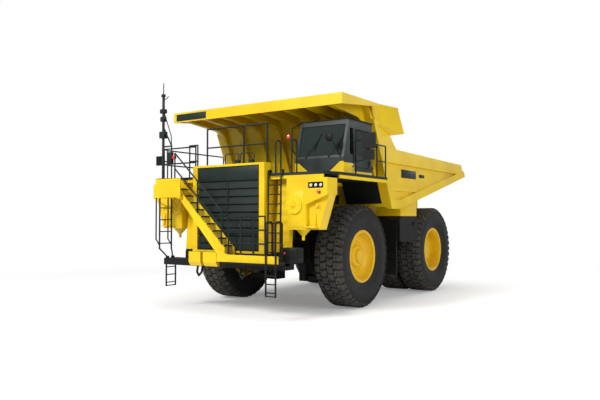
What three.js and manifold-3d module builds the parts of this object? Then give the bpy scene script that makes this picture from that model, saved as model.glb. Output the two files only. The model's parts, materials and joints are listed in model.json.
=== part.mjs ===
// Rigid mining dump truck, about 150 tonnes payload, as named solids that move on real joints.
// Millimetres, +Z up. The truck faces -Y and +X is the truck's left. Every place below is written
// from the ground under the front axle; the last group moves the origin to the middle of the length.
import * as THREE from "three";
import { mergeVertices } from "three/addons/utils/BufferGeometryUtils.js";
import { ConvexGeometry } from "three/addons/geometries/ConvexGeometry.js";
import Module from "manifold-3d";

const wasm = await Module();
wasm.setup();

// ---------------------------------------------------------------- driving dimensions
const SEAT_GAP = 0.3;          // between two pieces that touch
const RUNNING_GAP = 0.5;       // between the faces of a hub, kingpin or hinge
const MOVING_GAP = 10;         // between a moving piece and what it passes

const WHEELBASE = 5350;
const TYRE_RADIUS = 1530;
const TYRE_WIDTH = 930;
const RIM_SEAT_RADIUS = 742;
const RIM_FLANGE_RADIUS = 790;
const RIM_WIDTH = 690;
const FRONT_TYRE_X = 2235;
const DUAL_SPACING = TYRE_WIDTH + 90;
const REAR_TYRE_INNER_X = 770;  // the inner tyre's inner face, clear of the frame
const REAR_TYRE_X = REAR_TYRE_INNER_X + TYRE_WIDTH / 2 + DUAL_SPACING;
const KINGPIN_X = 1420;

const BUMPER_FRONT_Y = -3800;
const TAIL_Y = WHEELBASE + 2230;

const AXLE_Z = TYRE_RADIUS;
const DECK_TOP_Z = AXLE_Z + 2370;
const DECK_THICKNESS = 80;
const DECK_SKIRT = 90;
const DECK_HALF_WIDTH = 3250;
const DECK_FRONT_Y = -3000;
const DECK_REAR_Y = 350;
const DECK_UNDER_Z = DECK_TOP_Z - DECK_THICKNESS;

// ---------------------------------------------------------------- colours
const paint = (name, color, roughness, metalness) =>
  Object.assign(new THREE.MeshStandardMaterial({ color, roughness, metalness }), { name });
const YELLOW = paint("yellow paint", 0xe9bd2a, 0.45, 0.1);
const DARK = paint("dark paint", 0x2a302d, 0.55, 0.1);
const BLACK = paint("black paint", 0x1a1c1b, 0.6, 0.1);
const CAB_PAINT = paint("cab paint", 0x3a4542, 0.5, 0.1);
const RUBBER = paint("tyre rubber", 0x2b2a28, 0.9, 0);
const STEEL = paint("cylinder steel", 0xb8bcc0, 0.25, 0.9);
const CAST = paint("cast housing", 0x3a3b38, 0.6, 0.4);
const CLEAR = paint("glass", 0x9fb3b0, 0.05, 0);
const FABRIC = paint("seat fabric", 0x2c2d30, 0.9, 0);

// ---------------------------------------------------------------- solids
function toSolid(geometry) {
  const plain = new THREE.BufferGeometry();
  plain.setAttribute("position", geometry.getAttribute("position"));
  if (geometry.index) {
    plain.setIndex(geometry.index);
  }
  const merged = mergeVertices(plain, 0.001);
  const vertProperties = new Float32Array(merged.getAttribute("position").array);
  const triVerts = new Uint32Array(merged.index.array);
  return new wasm.Manifold(new wasm.Mesh({ numProp: 3, vertProperties, triVerts }));
}

const join = (...solids) => wasm.Manifold.union(solids.flat());
const cut = (solid, ...tools) => solid.subtract(join(tools));

function mirrored(solid) {
  const { vertProperties, triVerts } = solid.getMesh();
  const points = vertProperties.map((value, index) => (index % 3 === 0 ? -value : value));
  const triangles = triVerts.slice();
  for (let i = 0; i < triangles.length; i += 3) {
    [triangles[i], triangles[i + 1]] = [triangles[i + 1], triangles[i]];
  }
  return new wasm.Manifold(new wasm.Mesh({ numProp: 3, vertProperties: points, triVerts: triangles }));
}

const bothSides = (solid) => [solid, mirrored(solid)];

function box([x0, x1], [y0, y1], [z0, z1]) {
  const geometry = new THREE.BoxGeometry(x1 - x0, y1 - y0, z1 - z0);
  geometry.translate((x0 + x1) / 2, (y0 + y1) / 2, (z0 + z1) / 2);
  return toSolid(geometry);
}

// An outline pushed from `start` by `depth`; the three axes say where u, v and the push point.
function prism(outline, depth, uAxis, vAxis, pushAxis, start) {
  const shape = new THREE.Shape(outline.map(([u, v]) => new THREE.Vector2(u, v)));
  const geometry = new THREE.ExtrudeGeometry(shape, { depth, bevelEnabled: false });
  geometry.applyMatrix4(new THREE.Matrix4().makeBasis(uAxis, vAxis, pushAxis));
  geometry.translate(...start);
  return toSolid(geometry);
}

const X = new THREE.Vector3(1, 0, 0);
const Y = new THREE.Vector3(0, 1, 0);
const Z = new THREE.Vector3(0, 0, 1);
const BACK = new THREE.Vector3(0, -1, 0);

const prismX = (outlineYZ, [x0, x1]) => prism(outlineYZ, x1 - x0, Y, Z, X, [x0, 0, 0]);
const prismY = (outlineXZ, [y0, y1]) => prism(outlineXZ, y1 - y0, X, Z, BACK, [0, y1, 0]);
const prismZ = (outlineXY, [z0, z1]) => prism(outlineXY, z1 - z0, X, Y, Z, [0, 0, z0]);

function bar(from, to, radius, sides = 6) {
  const start = new THREE.Vector3(...from);
  const end = new THREE.Vector3(...to);
  const geometry = new THREE.CylinderGeometry(radius, radius, start.distanceTo(end), sides);
  const turn = new THREE.Quaternion().setFromUnitVectors(Y, end.clone().sub(start).normalize());
  const middle = start.add(end).multiplyScalar(0.5);
  geometry.applyMatrix4(new THREE.Matrix4().compose(middle, turn, new THREE.Vector3(1, 1, 1)));
  return toSolid(geometry);
}

// A bent tube: straight bars that run a little past each bend, so that they join.
function pipe(points, radius, sides = 6) {
  const pieces = [];
  for (let i = 0; i + 1 < points.length; i += 1) {
    const start = new THREE.Vector3(...points[i]);
    const end = new THREE.Vector3(...points[i + 1]);
    const overrun = end.clone().sub(start).setLength(radius * 0.6);
    if (i > 0) {
      start.sub(overrun);
    }
    if (i + 2 < points.length) {
      end.add(overrun);
    }
    pieces.push(bar(start.toArray(), end.toArray(), radius, sides));
  }
  return join(pieces);
}

// A turned solid about an axis along X; the profile is [offset along X, radius].
function turnedX(profile, [x, y, z], segments = 24) {
  const points = profile.map(([offset, radius]) => new THREE.Vector2(radius, offset));
  const geometry = new THREE.LatheGeometry(points, segments);
  geometry.rotateZ(-Math.PI / 2);
  geometry.translate(x, y, z);
  return rightWayOut(geometry);
}

function turnedZ(profile, [x, y, z], segments = 16) {
  const points = profile.map(([radius, height]) => new THREE.Vector2(radius, height));
  const geometry = new THREE.LatheGeometry(points, segments);
  geometry.rotateX(Math.PI / 2);
  geometry.translate(x, y, z);
  return rightWayOut(geometry);
}

// A lathe's faces point in or out with the direction of its profile, so its winding is set here.
function rightWayOut(geometry) {
  const plain = new THREE.BufferGeometry();
  plain.setAttribute("position", geometry.getAttribute("position"));
  plain.setIndex(geometry.index);
  const merged = mergeVertices(plain, 0.01);
  const corners = merged.getAttribute("position");
  const index = Array.from(merged.index.array);
  const faces = [];
  let volume = 0;
  for (let i = 0; i < index.length; i += 3) {
    const [a, b, c] = [index[i], index[i + 1], index[i + 2]];
    if (a !== b && b !== c && c !== a) {
      faces.push(a, b, c);
      const pa = new THREE.Vector3().fromBufferAttribute(corners, a);
      const pb = new THREE.Vector3().fromBufferAttribute(corners, b);
      const pc = new THREE.Vector3().fromBufferAttribute(corners, c);
      volume += pa.dot(pb.cross(pc));
    }
  }
  if (volume < 0) {
    faces.reverse();
  }
  const vertProperties = new Float32Array(corners.array);
  const triVerts = new Uint32Array(faces);
  return new wasm.Manifold(new wasm.Mesh({ numProp: 3, vertProperties, triVerts }));
}

// A flat or slightly twisted plate: four corners, thickened by the vector `through`.
function plate(corners, through) {
  const near = corners.map((corner) => new THREE.Vector3(...corner));
  const far = near.map((corner) => corner.clone().add(new THREE.Vector3(...through)));
  return toSolid(new ConvexGeometry([...near, ...far]));
}

const truck = new THREE.Group();
truck.name = "mining_dump_truck";
truck.position.y = -(BUMPER_FRONT_Y + TAIL_Y) / 2;

function addPart(name, solid, material) {
  const { vertProperties, triVerts } = solid.getMesh();
  const geometry = new THREE.BufferGeometry();
  geometry.setAttribute("position", new THREE.BufferAttribute(new Float32Array(vertProperties), 3));
  geometry.setIndex(new THREE.BufferAttribute(new Uint32Array(triVerts), 1));
  geometry.computeVertexNormals();
  const mesh = new THREE.Mesh(geometry, material);
  mesh.name = name;
  truck.add(mesh);
}

function addPair(name, leftSolid, material) {
  addPart(`${name}_left`, leftSolid, material);
  addPart(`${name}_right`, mirrored(leftSolid), material);
}

// ---------------------------------------------------------------- frame
const RAIL_X = [450, 610];
const RAIL_FRONT_Y = -2900;
const RAIL_BOTTOM_Z = AXLE_Z - 280;
const RAIL_TOP_Z = AXLE_Z + 400;
const REAR_RAIL_BOTTOM_Z = AXLE_Z + 590;
const REAR_RAIL_TOP_Z = AXLE_Z + 970;
const PIVOT = { y: WHEELBASE + 1050, z: AXLE_Z + 1020, radius: 60, boss: 110 };
const CROSS_BEAM = { y: [-2900, -2600], z: [AXLE_Z - 130, AXLE_Z + 170], halfWidth: 1900 };
const UPRIGHT_X = [1450, 1900];
const STRUT_RADIUS = 150;
const STRUT_BOTTOM_Z = AXLE_Z + 420;
const STRUT_BEAM_Z = [2 * TYRE_RADIUS + 50, 2 * TYRE_RADIUS + 340];
const KNUCKLE_BOTTOM_Z = AXLE_Z - 670;
const ENGINE_BED_Z = AXLE_Z - 230;
const TANK_Y = [TYRE_RADIUS + 720, WHEELBASE - TYRE_RADIUS - 170];
const TANK_BOTTOM_Z = AXLE_Z + 370;
const AXLE_ARM_FRONT_Y = WHEELBASE - 1950;

const HOIST = {
  x: 755,
  base: [WHEELBASE - 2250, AXLE_Z - 480],
  eye: [WHEELBASE - 2450, AXLE_Z + 1670],
  pin: 50,
};

function railOutline() {
  const kick = WHEELBASE - 1650;
  return [
    [RAIL_FRONT_Y, RAIL_BOTTOM_Z],
    [kick, RAIL_BOTTOM_Z],
    [kick + 800, REAR_RAIL_BOTTOM_Z],
    [PIVOT.y + 180, REAR_RAIL_BOTTOM_Z],
    [PIVOT.y + 150, PIVOT.z + 130],
    [PIVOT.y - 180, PIVOT.z + 130],
    [PIVOT.y - 300, REAR_RAIL_TOP_Z],
    [kick + 500, REAR_RAIL_TOP_Z],
    [kick - 300, RAIL_TOP_Z],
    [-2350, RAIL_TOP_Z],
    [-2470, CROSS_BEAM.z[1]],
    [RAIL_FRONT_Y, CROSS_BEAM.z[1]],
  ];
}

// What stands on one rail: the front upright, the suspension tower and arm, the tank cradles and pins.
function frameSide() {
  const [inner, outer] = RAIL_X;
  const rail = prismX(railOutline(), RAIL_X);
  const upright = prismX([
    [CROSS_BEAM.y[0], CROSS_BEAM.z[0] + 100],
    [CROSS_BEAM.y[0] + 170, CROSS_BEAM.z[0] + 100],
    [CROSS_BEAM.y[0] + 330, DECK_UNDER_Z - SEAT_GAP],
    [CROSS_BEAM.y[0] + 180, DECK_UNDER_Z - SEAT_GAP],
  ], UPRIGHT_X);
  const tower = box([outer - 20, outer + 250], [-250, 250], [RAIL_BOTTOM_Z + 50, STRUT_BEAM_Z[0] + 50]);
  const post = box([1150, 1350], [-200, 200], [STRUT_BEAM_Z[1] - 50, DECK_UNDER_Z - SEAT_GAP]);
  const strut = bar([KINGPIN_X, 0, STRUT_BOTTOM_Z], [KINGPIN_X, 0, STRUT_BEAM_Z[0] + 60], STRUT_RADIUS, 16);
  const armTop = KNUCKLE_BOTTOM_Z - RUNNING_GAP;
  const arm = box([outer - 20, KINGPIN_X + 140], [-200, 200], [armTop - 160, armTop]);
  const hanger = box([inner, outer + 90], [-250, 250], [armTop - 160, RAIL_BOTTOM_Z + 50]);
  const cradles = [[TANK_Y[0] + 100, TANK_Y[0] + 250], [TANK_Y[1] - 130, TANK_Y[1] - 10]].map((span) =>
    box([inner, 1600], span, [TANK_BOTTOM_Z - 200, TANK_BOTTOM_Z - SEAT_GAP]));
  const hoistBoss = bar([inner, ...HOIST.base], [HOIST.x - 120 - RUNNING_GAP, ...HOIST.base], 110, 16);
  const hoistPin = bar([inner, ...HOIST.base], [HOIST.x + 120, ...HOIST.base], HOIST.pin, 16);
  const hoistPad = box([inner, outer], [HOIST.base[0] - 200, HOIST.base[0] + 200],
    [HOIST.base[1] - 130, RAIL_BOTTOM_Z + 50]);
  const bedPin = bar([inner, PIVOT.y, PIVOT.z], [outer + 130, PIVOT.y, PIVOT.z], PIVOT.radius, 16);
  const bedBoss = bar([inner, PIVOT.y, PIVOT.z], [outer + MOVING_GAP - RUNNING_GAP, PIVOT.y, PIVOT.z],
    PIVOT.boss, 16);
  return join(rail, upright, tower, post, strut, arm, hanger, cradles, hoistBoss, hoistPin, hoistPad,
    bedPin, bedBoss);
}

function frame() {
  const across = (y, z) => box([-RAIL_X[1] + 10, RAIL_X[1] - 10], y, z);
  return join(
    bothSides(frameSide()),
    box([-CROSS_BEAM.halfWidth, CROSS_BEAM.halfWidth], CROSS_BEAM.y, CROSS_BEAM.z),
    box([-KINGPIN_X - 180, KINGPIN_X + 180], [-300, 300], STRUT_BEAM_Z),
    across([-1600, -1200], [ENGINE_BED_Z - 100, ENGINE_BED_Z - SEAT_GAP]),
    across([500, 750], [AXLE_Z - 230, AXLE_Z + 270]),
    across([AXLE_ARM_FRONT_Y - 250, AXLE_ARM_FRONT_Y], [AXLE_Z - 230, AXLE_Z + 320]),
    across([WHEELBASE + 550, WHEELBASE + 750], [REAR_RAIL_BOTTOM_Z + 30, REAR_RAIL_TOP_Z - 50]),
  );
}

function engineBlock() {
  const halfWidth = RAIL_X[0] - 20;
  return box([-halfWidth, halfWidth], [-2300, -450], [ENGINE_BED_Z, AXLE_Z + 1200]);
}

function transmission() {
  const shaftZ = AXLE_Z;
  return join(
    box([-330, 330], [750 + SEAT_GAP, 2300], [AXLE_Z - 250, AXLE_Z + 330]),
    bar([0, 2250, shaftZ], [0, AXLE_ARM_FRONT_Y - 250 - SEAT_GAP, shaftZ], 100, 12),
  );
}

const REAR_SPINDLE_RADIUS = 200;
const REAR_FLANGE_X = REAR_TYRE_X - DUAL_SPACING - 375;

function rearAxle() {
  const housing = turnedX([
    [-REAR_FLANGE_X + RUNNING_GAP, 0],
    [-REAR_FLANGE_X + RUNNING_GAP, 400],
    [-REAR_FLANGE_X + 60, 400],
    [-REAR_FLANGE_X + 110, 290],
    [-480, 330],
    [-250, 520],
    [250, 520],
    [480, 330],
    [REAR_FLANGE_X - 110, 290],
    [REAR_FLANGE_X - 60, 400],
    [REAR_FLANGE_X - RUNNING_GAP, 400],
    [REAR_FLANGE_X - RUNNING_GAP, 0],
  ], [0, WHEELBASE, AXLE_Z], 20);
  const spindleEnd = REAR_TYRE_X - 700;
  const spindle = bar([-spindleEnd, WHEELBASE, AXLE_Z], [spindleEnd, WHEELBASE, AXLE_Z],
    REAR_SPINDLE_RADIUS, 20);
  const arm = box([-220, 220], [AXLE_ARM_FRONT_Y + SEAT_GAP, WHEELBASE - 300], [AXLE_Z - 180, AXLE_Z + 170]);
  const shelf = box([-430, 430], [WHEELBASE, WHEELBASE + 760], [AXLE_Z - 180, AXLE_Z + 20]);
  const cylinderTopZ = REAR_RAIL_BOTTOM_Z + 30 - SEAT_GAP;
  const cylinder = bar([330, WHEELBASE + 650, AXLE_Z], [330, WHEELBASE + 650, cylinderTopZ], 95, 12);
  return join(housing, spindle, arm, shelf, bothSides(cylinder));
}

// ---------------------------------------------------------------- wheels
const BEAD = RIM_WIDTH / 2;
const FLANGE_OUT = BEAD + 30;
const SEAT = RIM_SEAT_RADIUS - SEAT_GAP;
const DROP = RIM_SEAT_RADIUS - 42;
const FRONT_SPINDLE_RADIUS = 130;
const BORE_PLAY = 4;
const WHEEL_SIDES = 20;

function tyre(x, y) {
  const half = TYRE_WIDTH / 2;
  const radius = TYRE_RADIUS;
  return turnedX([
    [-BEAD, RIM_SEAT_RADIUS],
    [-BEAD, RIM_FLANGE_RADIUS + 20],
    [-half, radius * 0.7],
    [-half, radius * 0.88],
    [-half * 0.84, radius],
    [half * 0.84, radius],
    [half, radius * 0.88],
    [half, radius * 0.7],
    [BEAD, RIM_FLANGE_RADIUS + 20],
    [BEAD, RIM_SEAT_RADIUS],
    [BEAD * 0.75, RIM_SEAT_RADIUS],
    [half * 0.7, radius * 0.88],
    [-half * 0.7, radius * 0.88],
    [-BEAD * 0.75, RIM_SEAT_RADIUS],
    [-BEAD, RIM_SEAT_RADIUS],
  ], [x, y, AXLE_Z], WHEEL_SIDES);
}

function frontRim() {
  const hubFace = -235;
  return turnedX([
    [60, 0],
    [60, FRONT_SPINDLE_RADIUS + BORE_PLAY],
    [hubFace, FRONT_SPINDLE_RADIUS + BORE_PLAY],
    [hubFace, 330],
    [60, 330],
    [60, DROP],
    [-FLANGE_OUT, DROP],
    [-FLANGE_OUT, RIM_FLANGE_RADIUS],
    [-BEAD - SEAT_GAP, RIM_FLANGE_RADIUS],
    [-BEAD - SEAT_GAP, SEAT],
    [BEAD + SEAT_GAP, SEAT],
    [BEAD + SEAT_GAP, RIM_FLANGE_RADIUS],
    [FLANGE_OUT, RIM_FLANGE_RADIUS],
    [FLANGE_OUT, DROP],
    [110, DROP],
    [110, 380],
    [280, 300],
    [300, 0],
  ], [FRONT_TYRE_X, 0, AXLE_Z], WHEEL_SIDES);
}

function rearRims() {
  const inner = -DUAL_SPACING;
  const hubFace = REAR_FLANGE_X - REAR_TYRE_X;
  const boreEnd = -640;
  return turnedX([
    [boreEnd, 0],
    [boreEnd, REAR_SPINDLE_RADIUS + BORE_PLAY],
    [hubFace, REAR_SPINDLE_RADIUS + BORE_PLAY],
    [hubFace, 480],
    [inner - 40, 480],
    [inner - 40, DROP],
    [inner - FLANGE_OUT, DROP],
    [inner - FLANGE_OUT, RIM_FLANGE_RADIUS],
    [inner - BEAD - SEAT_GAP, RIM_FLANGE_RADIUS],
    [inner - BEAD - SEAT_GAP, SEAT],
    [inner + BEAD + SEAT_GAP, SEAT],
    [inner + BEAD + SEAT_GAP, RIM_FLANGE_RADIUS],
    [inner + FLANGE_OUT, RIM_FLANGE_RADIUS],
    [inner + FLANGE_OUT, DROP],
    [-FLANGE_OUT, DROP],
    [-FLANGE_OUT, RIM_FLANGE_RADIUS],
    [-BEAD - SEAT_GAP, RIM_FLANGE_RADIUS],
    [-BEAD - SEAT_GAP, SEAT],
    [BEAD + SEAT_GAP, SEAT],
    [BEAD + SEAT_GAP, RIM_FLANGE_RADIUS],
    [FLANGE_OUT, RIM_FLANGE_RADIUS],
    [FLANGE_OUT, DROP],
    [-60, DROP],
    [-60, 520],
    [120, 440],
    [150, 0],
  ], [REAR_TYRE_X, WHEELBASE, AXLE_Z], WHEEL_SIDES);
}

function knuckle() {
  const hubFaceX = FRONT_TYRE_X - 235;
  return join(
    bar([KINGPIN_X, 0, KNUCKLE_BOTTOM_Z], [KINGPIN_X, 0, STRUT_BOTTOM_Z - RUNNING_GAP],
      STRUT_RADIUS + 20, 16),
    bar([KINGPIN_X, 0, AXLE_Z], [hubFaceX - 40, 0, AXLE_Z], 190, 16),
    bar([hubFaceX - 60, 0, AXLE_Z], [hubFaceX - RUNNING_GAP, 0, AXLE_Z], 300, 20),
    bar([hubFaceX - 60, 0, AXLE_Z], [FRONT_TYRE_X + 40, 0, AXLE_Z], FRONT_SPINDLE_RADIUS, 16),
    box([KINGPIN_X - 60, KINGPIN_X + 60], [100, 420], [KNUCKLE_BOTTOM_Z + 60, KNUCKLE_BOTTOM_Z + 140]),
  );
}

// ---------------------------------------------------------------- dump bed
const BED_HALF_WIDTH = DECK_HALF_WIDTH - 250;
const BED_WALL = 100;
const BED_RAIL_STEP = 80;
const BED_LOW_Z = AXLE_Z + 1440;
const BED_FRONT_Y = 1000;
const BED_FLAT_END_Y = 1600;
const BED_SLOPE = 0.2256;
const FRONT_LEAN = 0.4545;
const FRONT_WALL_THICKNESS = 170;
const SIDE_RAIL_Z = [AXLE_Z + 2870, AXLE_Z + 3320];
const SIDE_TOP_Z = AXLE_Z + 4080;
const MID_RIB_Z = BED_LOW_Z + 720;
const CANOPY = {
  frontY: -2180,
  halfWidth: DECK_HALF_WIDTH - 90,
  bottomZ: AXLE_Z + 4234,
  topZ: AXLE_Z + 4544,
  sheet: 60,
};
const WING = { outerX: DECK_HALF_WIDTH + 60, rearTopY: 1000 };
const RIB_COUNT = 8;
const RIB_PITCH = 770;
const CORNER_Z = AXLE_Z + 3970;

const bedBottom = (y) => BED_LOW_Z + BED_SLOPE * Math.max(0, y - BED_FLAT_END_Y);
const wallFront = (z) => BED_FRONT_Y - FRONT_LEAN * (z - BED_LOW_Z);
const wallBack = (z) => wallFront(z) + FRONT_WALL_THICKNESS;

function bedFloor() {
  const under = 60;
  const over = 210;
  const inner = BED_HALF_WIDTH - BED_WALL - SEAT_GAP;
  const low = BED_LOW_Z + under;
  const high = BED_LOW_Z + over;
  const floorPlate = prismX([
    [wallBack(low) + 2 * SEAT_GAP, low],
    [BED_FLAT_END_Y, low],
    [TAIL_Y, bedBottom(TAIL_Y) + under],
    [TAIL_Y, bedBottom(TAIL_Y) + over],
    [BED_FLAT_END_Y, high],
    [wallBack(high) + 2 * SEAT_GAP, high],
  ], [-inner, inner]);
  const beamBottom = REAR_RAIL_TOP_Z + 100;
  const beamEnd = PIVOT.y - 330;
  const beam = prismX([
    [BED_FRONT_Y + 300, BED_LOW_Z - 100],
    [WHEELBASE - 1400, beamBottom],
    [beamEnd, beamBottom],
    [beamEnd, bedBottom(beamEnd) + under + 20],
    [BED_FLAT_END_Y, low + 20],
    [BED_FRONT_Y + 300, low + 20],
  ], [RAIL_X[0] + 20, RAIL_X[1] - 10]);
  const earX = [RAIL_X[1] + MOVING_GAP, RAIL_X[1] + MOVING_GAP + 100];
  const bridge = box([RAIL_X[0] + 20, earX[1]], [PIVOT.y - 450, PIVOT.y - 150],
    [PIVOT.z + 150, PIVOT.z + 1250]);
  const ear = prismX([
    [PIVOT.y - 450, PIVOT.z + 200],
    [PIVOT.y - 120, PIVOT.z - 60],
    [PIVOT.y - 60, PIVOT.z - 120],
    [PIVOT.y + 60, PIVOT.z - 120],
    [PIVOT.y + 120, PIVOT.z - 60],
    [PIVOT.y + 120, PIVOT.z + 60],
    [PIVOT.y - 100, PIVOT.z + 420],
    [PIVOT.y - 450, PIVOT.z + 420],
  ], earX);
  const pinHole = bar([earX[0] - 5, PIVOT.y, PIVOT.z], [earX[1] + 5, PIVOT.y, PIVOT.z],
    PIVOT.radius + BORE_PLAY, 16);
  const hoistEars = [HOIST.x - 125, HOIST.x + 85].map((x) =>
    box([x, x + 40], [HOIST.eye[0] - 110, HOIST.eye[0] + 110],
      [HOIST.eye[1] - 100, bedBottom(HOIST.eye[0]) + under + 20]));
  const ejector = rockEjector();
  const side = join(beam, bridge, cut(ear, pinHole), hoistEars, ejector);
  return join(floorPlate, bothSides(side));
}

// The bar that hangs between twin tyres and knocks stones out.
function rockEjector() {
  const middle = REAR_TYRE_X - DUAL_SPACING / 2;
  const y = WHEELBASE + 450;
  return box([middle - 22, middle + 22], [y, y + 120], [AXLE_Z + 820, bedBottom(y) + 80]);
}

// The front wall leans forward as it rises and meets the canopy that covers the cab.
function bedFront() {
  const inner = BED_HALF_WIDTH - BED_WALL - SEAT_GAP;
  const { frontY, halfWidth, bottomZ, topZ, sheet } = CANOPY;
  const wallFootZ = BED_LOW_Z + 70;
  const wallTopZ = topZ - sheet + 10;
  const wall = prismX([
    [wallFront(wallFootZ), wallFootZ],
    [wallBack(wallFootZ), wallFootZ],
    [wallBack(wallTopZ), wallTopZ],
    [wallFront(wallTopZ), wallTopZ],
  ], [-inner, inner]);
  const rearY = wallBack(SIDE_TOP_Z) + 20;
  const roof = prismZ([
    [-halfWidth, frontY],
    [halfWidth, frontY],
    [halfWidth, rearY],
    [WING.outerX, WING.rearTopY],
    [inner - 40, WING.rearTopY],
    [inner - 240, rearY],
    [240 - inner, rearY],
    [40 - inner, WING.rearTopY],
    [-WING.outerX, WING.rearTopY],
    [-halfWidth, rearY],
  ], [topZ - sheet, topZ]);
  const lip = box([-halfWidth, halfWidth], [frontY, frontY + sheet], [bottomZ, topZ - 10]);
  const flange = prismX([
    [frontY + 10, bottomZ],
    [rearY, topZ - sheet - 20],
    [rearY, topZ - 10],
    [frontY + 10, topZ - 10],
  ], [halfWidth - sheet, halfWidth]);
  const cheekX = inner + BED_WALL + 2 * SEAT_GAP;
  const cheek = prismX([
    [wallFront(SIDE_TOP_Z) - 20, SIDE_TOP_Z + SEAT_GAP],
    [rearY, SIDE_TOP_Z + SEAT_GAP],
    [wallBack(wallTopZ), wallTopZ],
    [wallFront(wallTopZ) - 20, wallTopZ],
  ], [inner - 10, cheekX]);
  const ribs = Array.from({ length: RIB_COUNT }, (_, i) => bedRib((i - (RIB_COUNT - 1) / 2) * RIB_PITCH));
  return join(wall, roof, lip, bothSides(flange), bothSides(cheek), bothSides(canopyWing()), ribs);
}

// The sheets that hang from the roof's rear corner and close the top of the side wall.
function canopyWing() {
  const panelX = BED_HALF_WIDTH + 2 * SEAT_GAP;
  const hung = CANOPY.topZ - CANOPY.sheet + 10;
  const foldY = 130;
  const through = [45, 30, 0];
  const corner = plate([
    [panelX, wallBack(SIDE_TOP_Z) - 40, SIDE_TOP_Z + 10],
    [panelX, foldY + 10, SIDE_TOP_Z + 10],
    [CANOPY.halfWidth - 40, foldY + 10, hung],
    [CANOPY.halfWidth - 40, wallFront(hung) - 60, hung],
  ], through);
  const hanging = plate([
    [panelX, foldY, SIDE_TOP_Z - 90],
    [panelX, 1010, SIDE_RAIL_Z[1] + 400],
    [WING.outerX - 50, WING.rearTopY + 400, SIDE_RAIL_Z[1] + 470],
    [WING.outerX - 50, WING.rearTopY - 40, hung],
    [CANOPY.halfWidth - 40, foldY, hung],
  ], through);
  return join(corner, hanging);
}

function bedRib(x) {
  const depth = 150;
  const half = 80;
  const footZ = BED_LOW_Z + 250;
  const underZ = CANOPY.topZ - CANOPY.sheet + 10;
  return prismX([
    [wallFront(footZ) + 20, footZ],
    [wallFront(footZ) - 40, footZ],
    [wallFront(footZ + 200) - depth, footZ + 200],
    [wallFront(CORNER_Z - 300) - depth, CORNER_Z - 300],
    [wallFront(CORNER_Z) - depth - 30, CORNER_Z],
    [wallFront(CORNER_Z) - depth - 290, CORNER_Z + 130],
    [-1150, CORNER_Z + 190],
    [CANOPY.frontY + 40, CANOPY.bottomZ + 20],
    [CANOPY.frontY + 40, underZ],
    [wallFront(underZ) + 20, underZ],
  ].reverse(), [x - half, x + half]);
}

function bedSide() {
  const [inner, outer] = [BED_HALF_WIDTH - BED_WALL, BED_HALF_WIDTH];
  const tailTopY = TAIL_Y - 450;
  const gussetFootY = 1500;
  const panel = prismX([
    [wallFront(BED_LOW_Z), BED_LOW_Z],
    [BED_FLAT_END_Y, BED_LOW_Z],
    [TAIL_Y, bedBottom(TAIL_Y)],
    [tailTopY, SIDE_RAIL_Z[1] - 100],
    [gussetFootY, SIDE_RAIL_Z[1]],
    [gussetFootY - 450, SIDE_RAIL_Z[1] + 400],
    [300, SIDE_TOP_Z],
    [wallFront(SIDE_TOP_Z), SIDE_TOP_Z],
  ], [inner, outer]);
  const step = [outer - 10, outer + BED_RAIL_STEP];
  const topRail = prismX([
    [wallFront(SIDE_RAIL_Z[0]) + 30, SIDE_RAIL_Z[0]],
    [tailTopY + 200, SIDE_RAIL_Z[0] - 30],
    [tailTopY, SIDE_RAIL_Z[1] - 100],
    [wallFront(SIDE_RAIL_Z[1]) + 60, SIDE_RAIL_Z[1]],
  ], step);
  const bottomRail = prismX([
    [wallFront(BED_LOW_Z), BED_LOW_Z],
    [BED_FLAT_END_Y, BED_LOW_Z],
    [TAIL_Y, bedBottom(TAIL_Y)],
    [TAIL_Y - 200, bedBottom(TAIL_Y) + 220],
    [BED_FLAT_END_Y, BED_LOW_Z + 280],
    [wallFront(BED_LOW_Z + 280), BED_LOW_Z + 280],
  ], step);
  const postWidth = 280;
  const post = prismX([
    [wallFront(BED_LOW_Z + 200), BED_LOW_Z + 200],
    [wallFront(BED_LOW_Z + 200) + postWidth, BED_LOW_Z + 200],
    [wallFront(SIDE_TOP_Z) + postWidth, SIDE_TOP_Z],
    [wallFront(SIDE_TOP_Z), SIDE_TOP_Z],
  ], step);
  const midRib = prismX([
    [wallFront(MID_RIB_Z) + 60, MID_RIB_Z],
    [2750, MID_RIB_Z - 40],
    [3050, MID_RIB_Z - 150],
    [wallFront(MID_RIB_Z - 150) + 60, MID_RIB_Z - 150],
  ], [outer - 10, outer + BED_RAIL_STEP - 30]);
  return join(panel, topRail, bottomRail, post, midRib);
}

// ---------------------------------------------------------------- hoist cylinders
const HOIST_TUBE = { barrel: 115, stage: 95, rod: 75, wall: RUNNING_GAP };

function alongHoist(distance) {
  const [y0, z0] = HOIST.base;
  const [y1, z1] = HOIST.eye;
  const length = Math.hypot(y1 - y0, z1 - z0);
  return [HOIST.x, y0 + (y1 - y0) * distance / length, z0 + (z1 - z0) * distance / length];
}

const hoistLength = Math.hypot(HOIST.eye[0] - HOIST.base[0], HOIST.eye[1] - HOIST.base[1]);
const hoistBar = (from, to, radius) => bar(alongHoist(from), alongHoist(to), radius, 16);

function hoistBarrel() {
  const { barrel, stage, wall } = HOIST_TUBE;
  const eye = bar([HOIST.x - 120, ...HOIST.base], [HOIST.x + 120, ...HOIST.base], 120, 16);
  const pinHole = bar([HOIST.x - 130, ...HOIST.base], [HOIST.x + 130, ...HOIST.base],
    HOIST.pin + BORE_PLAY, 16);
  const tube = hoistBar(60, hoistLength - 360, barrel);
  const bore = hoistBar(180, hoistLength, stage + wall);
  return cut(join(tube, eye), bore, pinHole);
}

function hoistStage() {
  const { stage, rod, wall } = HOIST_TUBE;
  return cut(hoistBar(220, hoistLength - 260, stage), hoistBar(200, hoistLength, rod + wall));
}

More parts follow.
